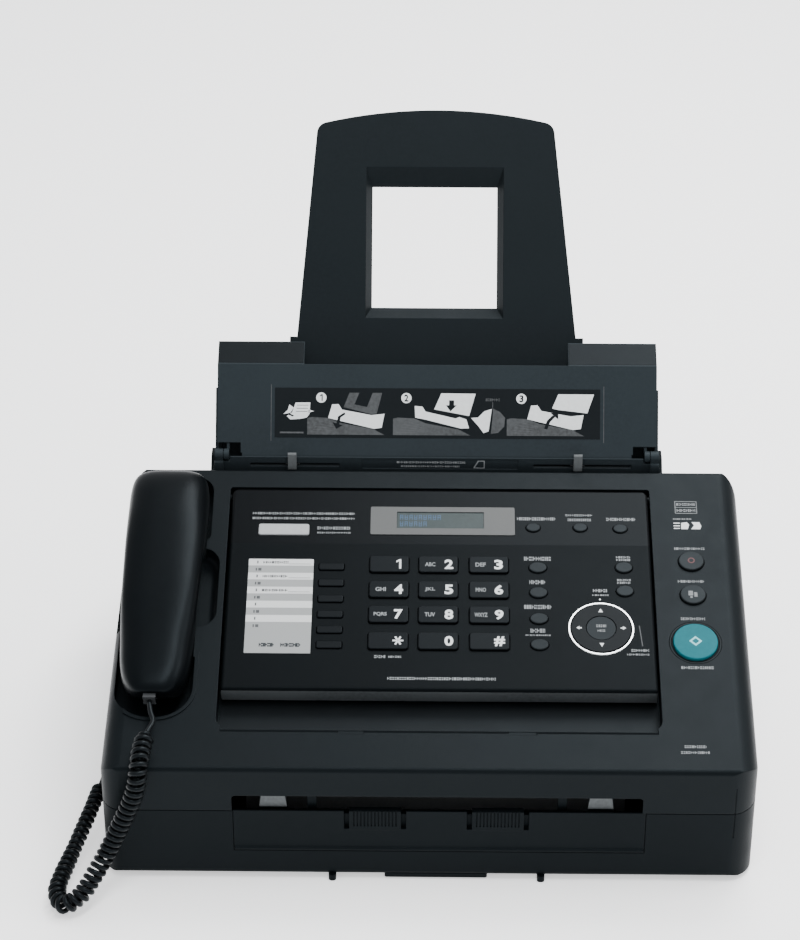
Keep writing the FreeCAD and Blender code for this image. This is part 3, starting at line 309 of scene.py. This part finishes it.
for name, o in NODES.items():
    if name in ("base_shell", "exit_panel"):
        k = "body"
    elif name == "top_cover":
        k = "cover"
    elif name in ("tray_cover", "paper_tray"):
        k = "tray"
    elif name == "paper_support":
        k = "support"
    elif name in ("guide_left", "guide_right"):
        k = "flap"
    elif name == "operation_panel":
        k = "panel"
    elif name == "key_board" or name == "circuit_boards":
        k = "board"
    elif name == "display":
        k = "lcd"
    elif name == "directory_card":
        k = "card"
    elif name in ("handset_back", "handset_front"):
        k = "handset"
    elif name.startswith("cord_plug"):
        k = "plug"
    elif name == "handset_cord":
        k = "cord"
    elif name in ("pickup_roller", "exit_roller", "feed_roller", "rubber_feet"):
        k = "rubber"
    elif name in ("laser_unit", "fuser_unit"):
        k = "inner"
    elif name in ("toner_drum_cartridge", "cis_scanner", "hook_switch"):
        k = "innerdark"
    elif name == "auto_key":
        k = "keygrey"
    elif name == "start_key":
        k = "teal"
    elif name.startswith("key_") or name.startswith("station_key"):
        k = "keyblack"
    elif name == "navigation_key":
        k = "gloss"
    else:
        k = "keydark"
    setmat(o, M[k])


# ------------------------------------------------------------------ flat printed shapes, thin solids on a surface
def new_obj(name, verts, faces, mat, smooth=False):
    me = bpy.data.meshes.new(name)
    me.from_pydata([tuple(v) for v in verts], [], faces)
    me.update()
    bm = bmesh.new(); bm.from_mesh(me)
    bmesh.ops.recalc_face_normals(bm, faces=bm.faces)
    bm.to_mesh(me); bm.free()
    if smooth:
        for p in me.polygons:
            p.use_smooth = True
    o = bpy.data.objects.new(name, me)
    bpy.context.scene.collection.objects.link(o)
    me.materials.append(mat)
    return o


def prisms(name, polys, fn, t, mat, body, thick=0.06):
    """polys: outlines in the plane of fn; each becomes a thin solid standing thick mm proud of t"""
    V, F = [], []
    for poly in polys:
        n = len(poly)
        b0 = len(V)
        area = sum(poly[i - 1][0] * poly[i][1] - poly[i][0] * poly[i - 1][1] for i in range(n))
        pl = poly if area > 0 else poly[::-1]
        for (a, b) in pl:
            V.append(fn(a, b, t))
        for (a, b) in pl:
            V.append(fn(a, b, t + thick))
        F.append(tuple(range(b0 + n, b0 + 2 * n)))
        F.append(tuple(range(b0 + n - 1, b0 - 1, -1)))
        for i in range(n):
            j = (i + 1) % n
            F.append((b0 + i, b0 + j, b0 + n + j, b0 + n + i))
    o = new_obj(name, V, F, mat)
    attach(o, body)
    return o


def rect(x0, x1, y0, y1):
    return [(x0, y0), (x1, y0), (x1, y1), (x0, y1)]


def disc(x, y, r, n=28, ry=None):
    ry = r if ry is None else ry
    return [(x + r * math.cos(2 * math.pi * i / n), y + ry * math.sin(2 * math.pi * i / n)) for i in range(n)]


def ring_obj(name, x, y, r0, r1, fn, t, thick, mat, body, n=72, sx=1.0):
    V, F = [], []
    prof = [(r0, 0.0), (r0 + (r1 - r0) * 0.2, thick), (r0 + (r1 - r0) * 0.8, thick), (r1, 0.0)]
    for i in range(n):
        a = 2 * math.pi * i / n
        for (r, h) in prof:
            V.append(fn(x + r * math.cos(a) * sx, y + r * math.sin(a), t + h))
    k = len(prof)
    for i in range(n):
        j = (i + 1) % n
        for q in range(k):
            q2 = (q + 1) % k
            F.append((i * k + q, j * k + q, j * k + q2, i * k + q2))
    o = new_obj(name, V, F, mat)
    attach(o, body)
    return o


def text_obj(name, text, fn, cx, cy, w, h, t, mat, body, bold=0.0, thick=0.06):
    """text fitted into a w x h rectangle centred on cx, cy (mm) of the plane of fn"""
    cu = bpy.data.curves.new(name + "_c", "FONT")
    cu.body = text
    cu.size = 1.0
    cu.offset = bold
    cu.extrude = 0.01
    cu.resolution_u = 3
    ob = bpy.data.objects.new(name + "_c", cu)
    bpy.context.scene.collection.objects.link(ob)
    bpy.context.view_layer.update()
    me = bpy.data.meshes.new_from_object(ob)
    bpy.data.objects.remove(ob)
    co = np.array([v.co for v in me.vertices], float)
    lo, hi = co.min(0), co.max(0)
    sx, sy = w / max(hi[0] - lo[0], 1e-6), h / max(hi[1] - lo[1], 1e-6)
    for v in me.vertices:
        x = cx + (v.co.x - (lo[0] + hi[0]) / 2) * sx
        y = cy + (v.co.y - (lo[1] + hi[1]) / 2) * sy
        z = t + (thick if v.co.z > 0 else 0.0)
        v.co = fn(x, y, z)
    bm = bmesh.new(); bm.from_mesh(me)
    bmesh.ops.remove_doubles(bm, verts=bm.verts, dist=1e-7)
    bmesh.ops.recalc_face_normals(bm, faces=bm.faces)
    bm.to_mesh(me); bm.free()
    me.materials.clear(); me.materials.append(mat)
    o = bpy.data.objects.new(name, me)
    bpy.context.scene.collection.objects.link(o)
    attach(o, body)
    return o


def one(cx, cy, k):
    """the figure 1 as a stem and a short flag"""
    stem = [(0.1, -4.2), (1.5, -4.2), (1.5, 4.2), (0.1, 4.2)]
    flag = [(0.1, 4.2), (-1.9, 2.7), (-1.9, 1.3), (0.1, 2.5)]
    return [[(cx + k * a, cy + k * b) for a, b in q] for q in (stem, flag)]


rng = np.random.default_rng(7)


def caption(x0, x1, y0, y1, rows=1, gap=0.35):
    """stands for a line of small print: short upright strokes of uneven width, no letters"""
    out = []
    hh = (y1 - y0) / rows
    for r in range(rows):
        a = y0 + r * hh + hh * 0.12
        b = y0 + (r + 1) * hh - hh * 0.12
        x = x0
        while x < x1 - 0.5:
            wdt = float(rng.uniform(0.7, 1.7))
            e = min(x + wdt, x1)
            kind = int(rng.integers(0, 3))
            if kind == 0:
                out.append(rect(x, e, a, b))
            elif kind == 1:
                out.append(rect(x, e, a, a + (b - a) * 0.38)); out.append(rect(x, e, a + (b - a) * 0.62, b))
            else:
                out.append(rect(x, x + (e - x) * 0.4, a, b)); out.append(rect(x + (e - x) * 0.4, e, a + (b - a) * 0.35, a + (b - a) * 0.7))
            x = e + gap
    return out


# ------------------------------------------------------------------ keypad printing
TOP = 1.0
keypad = {"1": ("1", ""), "2": ("2", "ABC"), "3": ("3", "DEF"), "4": ("4", "GHI"), "5": ("5", "JKL"), "6": ("6", "MNO"),
          "7": ("7", "PQRS"), "8": ("8", "TUV"), "9": ("9", "WXYZ"), "star": ("*", ""), "0": ("0", ""), "hash": ("#", "")}
rows = [["1", "2", "3"], ["4", "5", "6"], ["7", "8", "9"], ["star", "0", "hash"]]
for r, sy in enumerate((172.9, 150.6, 128.7, 105.9)):
    for c, xc in enumerate((-31.0, 3.0, 38.0)):
        k = rows[r][c]
        big, small = keypad[k]
        node = "key_" + k
        kt = TOP + 1.6 + 0.005
        ww = {"1": 3.9, "#": 7.4, "*": 7.0}.get(big, 6.0)
        hh = {"*": 7.4}.get(big, 8.4)
        if big == "*":
            st = []
            for a in (0, 60, 120):
                ca, sa = math.cos(math.radians(a)), math.sin(math.radians(a))
                L, q = 3.7, 0.62
                st.append([(xc + 6.8 + L * ca - q * sa, sy - 0.3 + L * 1.05 * sa + q * ca), (xc + 6.8 - L * ca - q * sa, sy - 0.3 - L * 1.05 * sa + q * ca),
                           (xc + 6.8 - L * ca + q * sa, sy - 0.3 - L * 1.05 * sa - q * ca), (xc + 6.8 + L * ca + q * sa, sy - 0.3 + L * 1.05 * sa - q * ca)])
            prisms("print_star", st, S, kt, M["white"], node)
        elif big == "1":
            prisms("print_1", one(xc + 6.8, sy - 0.3, 1.0), S, kt, M["white"], node)
        else:
            text_obj("print_" + k, big, S, xc + 6.8 + (0.6 if c == 1 else 0.0), sy - 0.3, ww, hh, kt, M["white"], node, bold=0.035)
        if small:
            text_obj("print_" + k + "_letters", small, S, xc - 5.6, sy - 0.4, 7.2 if len(small) == 3 else 9.0, 3.6, kt, M["greyprint"], node, bold=0.03)

# station keys: a fine bright line along the lower edge comes from their rounded edge
# ------------------------------------------------------------------ captions on the panel
caps = []
caps += caption(-127.8, -56.0, 217.9, 220.4) + caption(-127.8, -56.0, 213.4, 215.9)
caps += caption(-82.0, -59.0, 204.2, 207.6) + caption(-82.0, -58.6, 200.8, 202.6)
caps += caption(58.3, 86.0, 213.8, 217.4) + caption(92.3, 111.5, 218.0, 220.2) + caption(93.8, 110.5, 213.4, 216.4) + caption(120.9, 141.3, 213.8, 217.4)
for (x0, x1, s0) in ((62.6, 81.4, 178.3), (66.0, 77.0, 157.4), (62.0, 81.1, 135.6), (66.0, 76.0, 115.0)):
    caps += caption(x0, x1, s0 - 1.2, s0 + 3.4, rows=1)
caps += caption(62.6, 79.6, 111.4, 113.0)
caps += caption(126.6, 136.4, 177.6, 182.4, rows=2) + caption(126.6, 136.4, 157.2, 162.0, rows=2)
caps += caption(109.6, 119.4, 149.6, 153.2) + caption(109.0, 120.4, 146.6, 148.2)
caps += caption(134.0, 146.0, 98.4, 101.2) + caption(131.0, 146.6, 95.4, 97.2)
caps += caption(-40.2, -32.6, 91.4, 94.6) + caption(-30.6, -21.8, 91.8, 94.0)
caps += caption(-31.0, 42.0, 73.2, 76.2)
prisms("panel_captions", caps, S, TOP + 0.005, M["greyprint"], "panel")
prisms("panel_volume_line", [[(139.9, 121.0), (140.6, 121.0), (142.2, 103.5), (141.5, 103.5)]], S, TOP + 0.005, M["darkprint"], "panel")
prisms("panel_dot", [disc(114.2, 143.6, 0.7, 12)], S, TOP + 0.005, M["white"], "panel")

# navigation key: thin bright ring, arrows, set key mark
ring_obj("navigation_ring", 114.2, 118.0, 21.0, 22.6, S, TOP, 0.7, M["silver"], "panel", n=96)
ar = []
kt = TOP + 1.2 + 0.01
ar.append([(112.6, 131.6), (115.8, 131.6), (114.2, 134.8)])
ar.append([(112.6, 105.0), (114.2, 101.8), (115.8, 105.0)])
ar.append([(97.2, 118.0), (99.4, 119.5), (99.4, 116.5)]); ar.append(rect(99.4, 101.0, 117.5, 118.5))
ar.append([(131.2, 118.0), (129.0, 119.5), (129.0, 116.5)]); ar.append(rect(127.4, 129.0, 117.5, 118.5))
prisms("navigation_arrows", ar, S, kt, M["white"], "navigation_key")
prisms("set_key_mark", caption(110.8, 117.6, 118.4, 121.4) + caption(111.6, 116.8, 114.6, 117.0), S, TOP + 1.0 + 0.01, M["greyprint"], "set_key")

# display: dark glass window and a few dots of text
prisms("display_glass", [rect(-26.0, 34.8, 206.2, 220.8)], S, 0.5, M["lcdglass"], "panel", thick=0.35)
seg = []
x = -24.0
for i in range(9):
    for row, (a, b) in enumerate(((214.2, 218.6), (208.2, 212.6))):
        if row == 1 and i > 5:
            continue
        seg += [rect(x, x + 0.5, a, b), rect(x + 1.7, x + 2.2, a, b), rect(x + 0.5, x + 1.7, a if (i + row) % 2 else b - 0.6, (a + 0.6) if (i + row) % 2 else b), rect(x + 0.5, x + 1.7, (a + b) / 2 - 0.3, (a + b) / 2 + 0.3)]
    x += 3.3
prisms("display_text", seg, S, 0.86, M["lcdink"], "panel", thick=0.03)

# directory card printing
cp = []
for i in range(5):
    s0 = 115.6 + 12.4 * i
    cp += [rect(-123.6, -122.6, s0 + 1.8, s0 + 4.2), rect(-121.8, -119.6, s0 + 1.8, s0 + 4.2)]
    cp += [rect(-122.8, -121.9, s0 + 8.2, s0 + 10.6)]
for i, s0 in enumerate((165.2, 152.8, 140.4)):
    cp += caption(-118.5, -101.0, s0 + 8.0, s0 + 10.6)
    cp += [rect(-100.5, -85.5, s0 + 7.8, s0 + 8.1)]
prisms("card_print", cp, S, TOP + 0.155, M["darkprint"], "panel", thick=0.03)
prisms("card_boxes", caption(-118.6, -108.5, 100.2, 104.4, gap=0.1) + caption(-104.0, -90.4, 100.2, 104.4, gap=0.1), S, TOP + 0.155, M["innerdark"], "panel", thick=0.03)

# ------------------------------------------------------------------ right side of the cover
rc = caption(167.6, 189.0, 188.8, 191.6) + caption(168.6, 187.4, 159.4, 162.4) + caption(169.0, 185.6, 126.6, 129.6) + caption(167.2, 189.2, 84.8, 87.8)
rc += caption(166.0, 180.5, 19.6, 22.4) + caption(163.4, 182.6, 15.0, 17.6)
# two square marks: an outlined box of small dashes and a row of blocks
for (x0, x1, s0, s1) in ((169.8, 185.4, 222.2, 233.6),):
    rc += [rect(x0, x1, s0, s0 + 0.5), rect(x0, x1, s1 - 0.5, s1), rect(x0, x0 + 0.5, s0, s1), rect(x1 - 0.5, x1, s0, s1), rect(x0, x1, (s0 + s1) / 2 - 0.2, (s0 + s1) / 2 + 0.2)]
    rc += caption(x0 + 1.2, x1 - 1.2, s0 + 1.2, s0 + 4.6) + caption(x0 + 1.2, x1 - 1.2, s0 + 7.0, s0 + 10.0)
rc += caption(168.0, 181.0, 216.4, 218.0)
prisms("cover_captions", rc, S, 0.005, M["greyprint"], "top_cover")
prisms("cover_mark", [[(173.4, 208.0), (178.0, 208.0), (179.2, 212.0), (177.6, 214.4), (173.6, 213.6)], [(180.4, 208.0), (186.8, 208.0), (187.6, 210.8), (186.4, 214.4), (181.0, 214.4), (182.6, 211.4)],
                      rect(168.2, 172.6, 208.2, 209.0), rect(168.2, 172.6, 210.6, 211.4), rect(168.2, 172.6, 213.0, 213.8)], S, 0.005, M["white"], "top_cover")
prisms("stop_mark", [disc(178.7, 178.3, 2.5)], S, 1.8 + 0.005, M["red"], "stop_key", thick=0.05)
prisms("stop_mark_inner", [disc(178.7, 178.3, 1.5)], S, 1.86, M["keydark"], "stop_key", thick=0.05)
prisms("copy_mark", [rect(175.2, 178.4, 147.2, 151.2), rect(179.2, 181.4, 146.0, 150.0), rect(176.4, 178.0, 145.0, 146.6)], S, 1.8 + 0.005, M["greyprint"], "copy_key", thick=0.05)
prisms("start_mark", [[(173.4, 107.4), (177.9, 111.6), (182.4, 107.4), (177.9, 103.2)]], S, 2.2 + 0.005, M["tealmark"], "start_key", thick=0.05)
prisms("start_mark_inner", [[(175.4, 107.4), (177.9, 109.7), (180.4, 107.4), (177.9, 105.1)]], S, 2.26, M["teal"], "start_key", thick=0.05)
ring_obj("start_rim", 177.9, 107.4, 16.35, 17.85, S, -0.45, 0.55, M["keydark"], "top_cover", n=72)

# ------------------------------------------------------------------ tray cover label (plain pictograms)
lb_t = 0.01
prisms("tray_label", [rect(-114.7, 118.4, 12.2, 48.0)], T, lb_t, M["labelbg"], "tray_cover", thick=0.12)
lt = lb_t + 0.125
prisms("tray_label_frame", [rect(-117.5, -117.1, 9.8, 50.2), rect(120.8, 121.2, 9.8, 50.2)], T, 0.005, M["darkprint"], "tray_cover", thick=0.06)


def small(poly):
    return [(-99.5 + 0.74 * (a + 98.0), 30.5 + 0.74 * (b - 32.0)) for a, b in poly]


def shift(poly, dx, dv=0.0):
    return [(a + dx, b + dv) for a, b in poly]


white, grey, black = [], [], []
for i, (cx, cv) in enumerate(((-81.4, 41.0), (-20.4, 41.0), (62.0, 41.0))):
    white.append(disc(cx, cv, 3.7, 28))
base_shape = [(-91.4, 14.4), (-91.4, 26.2), (-88.0, 27.0), (-76.0, 26.4), (-68.0, 23.0), (-44.0, 18.6), (-36.0, 14.4)]
tray_shape = [(-76.4, 26.4), (-73.6, 36.2), (-69.0, 36.4), (-66.4, 32.4), (-45.4, 28.6), (-36.0, 29.6), (-38.0, 19.6), (-43.4, 18.8), (-68.0, 24.4)]
for dx in (0.0, 61.5, 143.0):
    grey.append(shift(base_shape, dx))
# first picture: tray cover swinging down in front of the support
white.append(tray_shape)
grey.append([(-65.4, 34.2), (-61.2, 44.6), (-54.2, 44.6), (-57.6, 36.2), (-48.6, 34.4), (-44.6, 44.6), (-37.8, 44.6), (-41.6, 29.8), (-45.4, 29.2)])
black += [[(-70.4, 22.6), (-69.2, 27.6), (-64.8, 30.4), (-64.0, 29.2), (-67.4, 26.8), (-68.4, 22.0)], [(-73.2, 23.4), (-66.0, 21.2), (-70.6, 18.6)]]
# a hand with sheets being fanned
white += [small(q) for q in [[(-107.0, 28.0), (-101.8, 31.6), (-98.4, 41.2), (-84.2, 41.4), (-84.8, 30.6), (-87.4, 26.8), (-94.0, 25.4), (-103.4, 24.8)], [(-110.2, 30.0), (-106.0, 34.0), (-104.4, 39.4), (-100.2, 36.2), (-103.4, 31.2)], [(-86.0, 31.4), (-80.4, 33.0), (-86.0, 34.4)]]]
black += [small(q) for q in [rect(-97.0, -86.0, 38.4, 38.9), rect(-97.4, -86.4, 35.4, 35.9), rect(-98.0, -87.0, 32.4, 32.9), [(-106.0, 29.6), (-101.0, 27.6), (-99.8, 28.6), (-104.8, 31.0)]]]
# second picture: paper going in
white.append([(-14.0, 27.0), (-14.4, 35.4), (-9.0, 35.0), (-6.6, 31.4), (14.8, 26.6), (17.6, 27.6), (22.6, 26.0), (24.6, 19.6), (18.8, 19.4), (-6.6, 25.6)])
white.append([(-0.4, 33.0), (4.6, 44.6), (29.2, 44.4), (24.6, 28.4)])
black += [rect(10.2, 13.8, 35.6, 39.6), [(8.0, 36.0), (15.6, 36.0), (11.2, 31.6)]]
white.append([(26.0, 27.0), (31.0, 27.4), (35.4, 31.8), (40.8, 33.6), (40.0, 27.6), (38.6, 17.6), (35.0, 16.2), (31.4, 21.0)])
grey.append([(41.8, 33.8), (46.8, 31.4), (50.4, 27.2), (49.8, 21.0), (45.4, 16.4), (40.2, 15.8), (41.4, 27.6)])
grey += caption(36.4, 46.6, 38.8, 41.4)
grey.append(rect(41.2, 41.7, 33.6, 38.6))
# third picture: tray cover closed again
white.append(shift(tray_shape, 142.6))
white.append([(84.0, 34.2), (88.4, 44.4), (114.0, 44.4), (109.2, 30.8), (88.0, 33.2)])
black += [[(78.4, 19.6), (80.4, 25.4), (84.6, 29.4), (86.2, 28.2), (82.6, 24.4), (80.6, 19.2)], [(83.0, 30.8), (88.6, 32.0), (88.4, 26.4)]]
# hatch lines on the machine pictures
hatch = []
for dx in (0.0, 61.5, 143.0):
    for j in range(5):
        hatch.append(shift([(-89.0 + j * 1.6, 16.0 + j * 2.0), (-74.0 + j * 1.2, 16.0 + j * 1.2), (-74.0 + j * 1.2, 16.35 + j * 1.2), (-89.0 + j * 1.6, 16.4 + j * 2.0)], dx))
hatch += [rect(-111.0, -94.0, 15.2, 16.4)]
prisms("label_grey_pictures", grey, T, lt, M["labelgrey"], "tray_cover", thick=0.03)
prisms("label_hatch", hatch, T, lt + 0.035, M["darkprint"], "tray_cover", thick=0.03)
prisms("label_white_pictures", white, T, lt + 0.04, M["white"], "tray_cover", thick=0.03)
prisms("label_black_details", black, T, lt + 0.075, M["labelbg"], "tray_cover", thick=0.03)
for i, (cx, cv) in enumerate(((-81.4, 41.0), (-20.4, 41.0), (62.0, 41.0))):
    if i == 0:
        prisms("label_number_1", one(cx + 0.1, cv, 0.58), T, lt + 0.075, M["labelbg"], "tray_cover", thick=0.03)
    else:
        text_obj("label_number_%d" % (i + 1), str(i + 1), T, cx, cv, 2.9, 5.0, lt + 0.075, M["labelbg"], "tray_cover", bold=0.03, thick=0.03)

# ------------------------------------------------------------------ document slot: small page mark and marks on the wall behind it
def WL(x, z, d):
    return W(x, 258.9 - d, z)


wm = caption(-27.0, 22.0, 165.8, 168.0) + caption(-24.0, 18.0, 162.6, 164.4)
prisms("document_slot_print", wm, WL, 0.01, M["greyprint"], "base", thick=0.05)
prisms("document_slot_page_mark", [rect(28.0, 36.0, 162.0, 162.7), rect(35.3, 36.0, 162.7, 168.6), rect(31.0, 35.3, 167.9, 168.6), [(28.0, 162.7), (29.0, 162.7), (31.8, 167.9), (31.0, 168.4)]], WL, 0.01, M["greyprint"], "base", thick=0.05)

# ------------------------------------------------------------------ exit slot: two pale flaps over the panel's own tabs
for nm, x0, x1 in (("exit_flap_left", -115.3, -96.2), ("exit_flap_right", 102.5, 120.3)):
    prisms(nm, [[(x0 + 0.3, 59.0), (x1 - 0.3, 59.0), (x1 - 1.6, 68.4), (x0 + 1.6, 68.4)]], lambda a, b, t: W(a, 4.35 - t, b), 0.0, M["flap"], "base", thick=0.35)

# ------------------------------------------------------------------ painted highlight on the front end of the panel, painted shade on the floor of the recess and on the inner lips of the tray cover
# painted highlight: a pale strip on the panel's front end face stands in for the light it catches
prisms("panel_front_edge", [rect(-142.6, 150.4, -11.2, -0.9)], lambda a, b, t: S(a, 65.0 - t, b), 0.0, M["edgelight"], "panel", thick=0.08)
# painted shade: a near-black sheet on the recess floor stands in for the shade under the panel
prisms("recess_floor_painted_shade", [rect(-143.4, 151.2, 36.5, 64.0)], S, -14.6, M["lipdark"], "top_cover", thick=0.06)
# painted shade: near-black strips on the tray cover's inner lips, which dip into the shaded slot
for nm, x0, x1 in (("tray_lip_left", -155.6, -94.4), ("tray_lip_right", 96.0, 158.6)):
    prisms(nm, [rect(x0, x1, 0.10, 0.97)], lambda a, b, t: T(a, 64.0 + 18.0 * b + 0.521 * t, -11.0 * b + 0.853 * t), 0.0, M["lipdark"], "tray_cover", thick=0.08)

# ------------------------------------------------------------------ handset cord
def sp(x, s, t):
    return S(x, s, t)


ROUTE = [sp(-189.0, 49.45, 7.4), sp(-188.0, 41.0, 7.4), W(-184.4, 29.0, 109.8), W(-188.2, 19.5, 109.8), W(-191.0, 7.0, 106.2), W(-192.4, -9.0, 100.6),
         W(-194.0, -12.5, 85.0), W(-201.4, -13.5, 66.3), W(-209.8, -15.5, 47.8), W(-218.0, -20.5, 31.9), W(-226.4, -28.6, 19.8),
         W(-231.4, -34.4, 13.8), W(-243.6, -40.4, 7.6), W(-250.4, -26.0, 9.4), W(-246.4, -11.0, 13.4), W(-241.4, 6.0, 17.2), W(-236.8, 21.0, 22.4),
         W(-232.0, 36.5, 27.4), W(-228.6, 52.0, 30.0), W(-226.5, 63.0, 31.2), W(-225.0, 75.0, 31.9), W(-224.2, 86.45, 32.0)]


def nurbs_line(points, name):
    cu = bpy.data.curves.new(name, "CURVE")
    cu.dimensions = "3D"
    cu.resolution_u = 40
    sp_ = cu.splines.new("NURBS")
    sp_.points.add(len(points) - 1)
    for i, p in enumerate(points):
        sp_.points[i].co = (p.x, p.y, p.z, 1.0)
    sp_.order_u = 3
    sp_.use_endpoint_u = True
    ob = bpy.data.objects.new(name, cu)
    bpy.context.scene.collection.objects.link(ob)
    bpy.context.view_layer.update()
    me = bpy.data.meshes.new_from_object(ob)
    pts = np.array([v.co for v in me.vertices], float)
    bpy.data.objects.remove(ob)
    bpy.data.meshes.remove(me)
    return pts


line = nurbs_line(ROUTE, "cord_route")
seg_l = np.linalg.norm(np.diff(line, axis=0), axis=1)
arc = np.concatenate([[0.0], np.cumsum(seg_l)])
total = float(arc[-1])
WIRE = 0.0036
COIL_R = 0.0048
PITCH = 0.0047
LEAD_A, LEAD_B = 0.028, 0.026
RAMP = 0.007


def at(u):
    return np.array([np.interp(u, arc, line[:, k]) for k in range(3)])


# frames carried along the line without twist
NF = 600
us = np.linspace(0, total, NF)
P = np.array([at(u) for u in us])
Tn = np.gradient(P, us, axis=0)
Tn /= np.linalg.norm(Tn, axis=1)[:, None]
N1 = np.zeros_like(P)
n0 = np.cross(Tn[0], [0, 0, 1.0]); n0 /= np.linalg.norm(n0)
N1[0] = n0
for i in range(1, NF):
    n = N1[i - 1] - np.dot(N1[i - 1], Tn[i]) * Tn[i]
    N1[i] = n / np.linalg.norm(n)
N2 = np.cross(Tn, N1)


def frame_at(u):
    f = np.interp(u, us, np.arange(NF))
    i = int(min(NF - 2, math.floor(f))); k = f - i
    p = P[i] * (1 - k) + P[i + 1] * k
    a = N1[i] * (1 - k) + N1[i + 1] * k
    b = N2[i] * (1 - k) + N2[i + 1] * k
    return p, a / np.linalg.norm(a), b / np.linalg.norm(b)


path = []
u = 0.0
while u < LEAD_A:
    path.append(at(u)); u += 0.002
turns = (total - LEAD_A - LEAD_B) / PITCH
nst = int(turns * 14)
for i in range(nst + 1):
    f = i / nst
    uu = LEAD_A + f * (total - LEAD_A - LEAD_B)
    d = min(uu - LEAD_A, total - LEAD_B - uu)
    q = max(0.0, min(1.0, d / RAMP))
    ease = max(0.0, min(1.0, (uu - 0.175) / 0.06))
    rr_ = COIL_R * (1.0 - 0.22 * ease * ease * (3 - 2 * ease)) * (q * q * (3 - 2 * q)) * (1.0 + 0.018 * math.sin(uu * 190.0) + 0.012 * math.sin(uu * 410.0 + 1.0))
    ang = 2 * math.pi * turns * f
    p, a, b = frame_at(uu)
    path.append(p + rr_ * (math.cos(ang) * a + math.sin(ang) * b))
u = total - LEAD_B + 0.002
while u < total:
    path.append(at(u)); u += 0.002
path.append(at(total))
path = np.array(path)
# drop points that repeat the one before
d_ = np.linalg.norm(np.diff(path, axis=0), axis=1)
keep = np.concatenate([[True], d_ > 1e-5])
path = path[keep]
cord_len = float(np.linalg.norm(np.diff(path, axis=0), axis=1).sum())
print("CORD route %.4f m, wire %.4f m, turns %.1f, points %d" % (total, cord_len, turns, len(path)))


def tube_mesh(name, pts, r, mat, sides=8):
    n = len(pts)
    tg = np.gradient(pts, axis=0)
    tg /= np.linalg.norm(tg, axis=1)[:, None]
    a = np.zeros_like(pts)
    a0 = np.cross(tg[0], [0.3, 0.2, 1.0]); a[0] = a0 / np.linalg.norm(a0)
    for i in range(1, n):
        v = a[i - 1] - np.dot(a[i - 1], tg[i]) * tg[i]
        a[i] = v / np.linalg.norm(v)
    b = np.cross(tg, a)
    V, F = [], []
    for i in range(n):
        for k in range(sides):
            an = 2 * math.pi * k / sides
            V.append(pts[i] + r * (math.cos(an) * a[i] + math.sin(an) * b[i]))
    for i in range(n - 1):
        for k in range(sides):
            k2 = (k + 1) % sides
            F.append((i * sides + k, i * sides + k2, (i + 1) * sides + k2, (i + 1) * sides + k))
    F.append(tuple(range(sides - 1, -1, -1)))
    F.append(tuple(range((n - 1) * sides, n * sides)))
    return new_obj(name, V, F, mat, smooth=True)


# the cord is one wire; its drawing is cut in two where it passes the crease of the cover,
# into a lower half and an upper half
cut_at = int(np.argmin(np.linalg.norm(path - np.array(ROUTE[6]), axis=1)))
lower_path = path[cut_at:][::-1]
upper_path = path[:cut_at + 1]


def plen(p):
    return float(np.linalg.norm(np.diff(p, axis=0), axis=1).sum())


upper = tube_mesh("handset_cord_upper", upper_path, WIRE / 2, M["cord"], sides=9)
lower = tube_mesh("handset_cord_lower", lower_path, WIRE / 2, M["cord"], sides=9)
print("CORD upper %.4f lower %.4f" % (plen(upper_path), plen(lower_path)))
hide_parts("handset_cord")
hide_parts("handset_cord")
tuple(lower_path[0])
round(plen(lower_path), 3)
[tuple(p) for p in lower_path]
tuple(upper_path[0])
round(plen(upper_path), 3)
[tuple(p) for p in upper_path]
mid = Vector(path[cut_at])
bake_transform(upper)
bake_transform(lower)

# ------------------------------------------------------------------ floor and light
fl = bpy.data.meshes.new("floor")
fl.from_pydata([(-6, -6, 0), (6, -6, 0), (6, 6, 0), (-6, 6, 0)], [], [(0, 1, 2, 3)])
floor = bpy.data.objects.new("floor", fl)
bpy.context.scene.collection.objects.link(floor)
fm = bpy.data.materials.new("floor_white")
fm.use_nodes = True
fb = bsdf(fm)
fb.inputs["Base Color"].default_value = (0.95, 0.95, 0.95, 1)
fb.inputs["Emission Color"].default_value = (1, 1, 1, 1)
fb.inputs["Emission Strength"].default_value = 0.7
fb.inputs["Roughness"].default_value = 0.9
fl.materials.append(fm)

world = bpy.data.worlds.new("World")
bpy.context.scene.world = world
world.use_nodes = True
wn = world.node_tree
wn.nodes["Background"].inputs[0].default_value = (0.95, 0.97, 1.0, 1)
wn.nodes["Background"].inputs[1].default_value = 1.15


def area(name, loc, target, size, power, size_y=None, col=(1, 1, 1)):
    ld = bpy.data.lights.new(name, "AREA")
    ld.energy = power
    ld.size = size
    ld.color = col
    if size_y:
        ld.shape = "RECTANGLE"; ld.size_y = size_y
    lo = bpy.data.objects.new(name, ld)
    bpy.context.scene.collection.objects.link(lo)
    lo.location = loc
    lo.rotation_euler = (Vector(target) - Vector(loc)).to_track_quat("-Z", "Y").to_euler()
    return lo


area("top_strip", (0.25, -0.35, 1.9), (0, -0.15, 0.1), 1.4, 26, size_y=0.35)
area("back_light", (0.55, 0.95, 1.9), (0.05, -0.05, 0.1), 1.1, 46)
area("right_light", (1.5, 0.1, 1.3), (0.15, 0, 0.1), 0.8, 12)
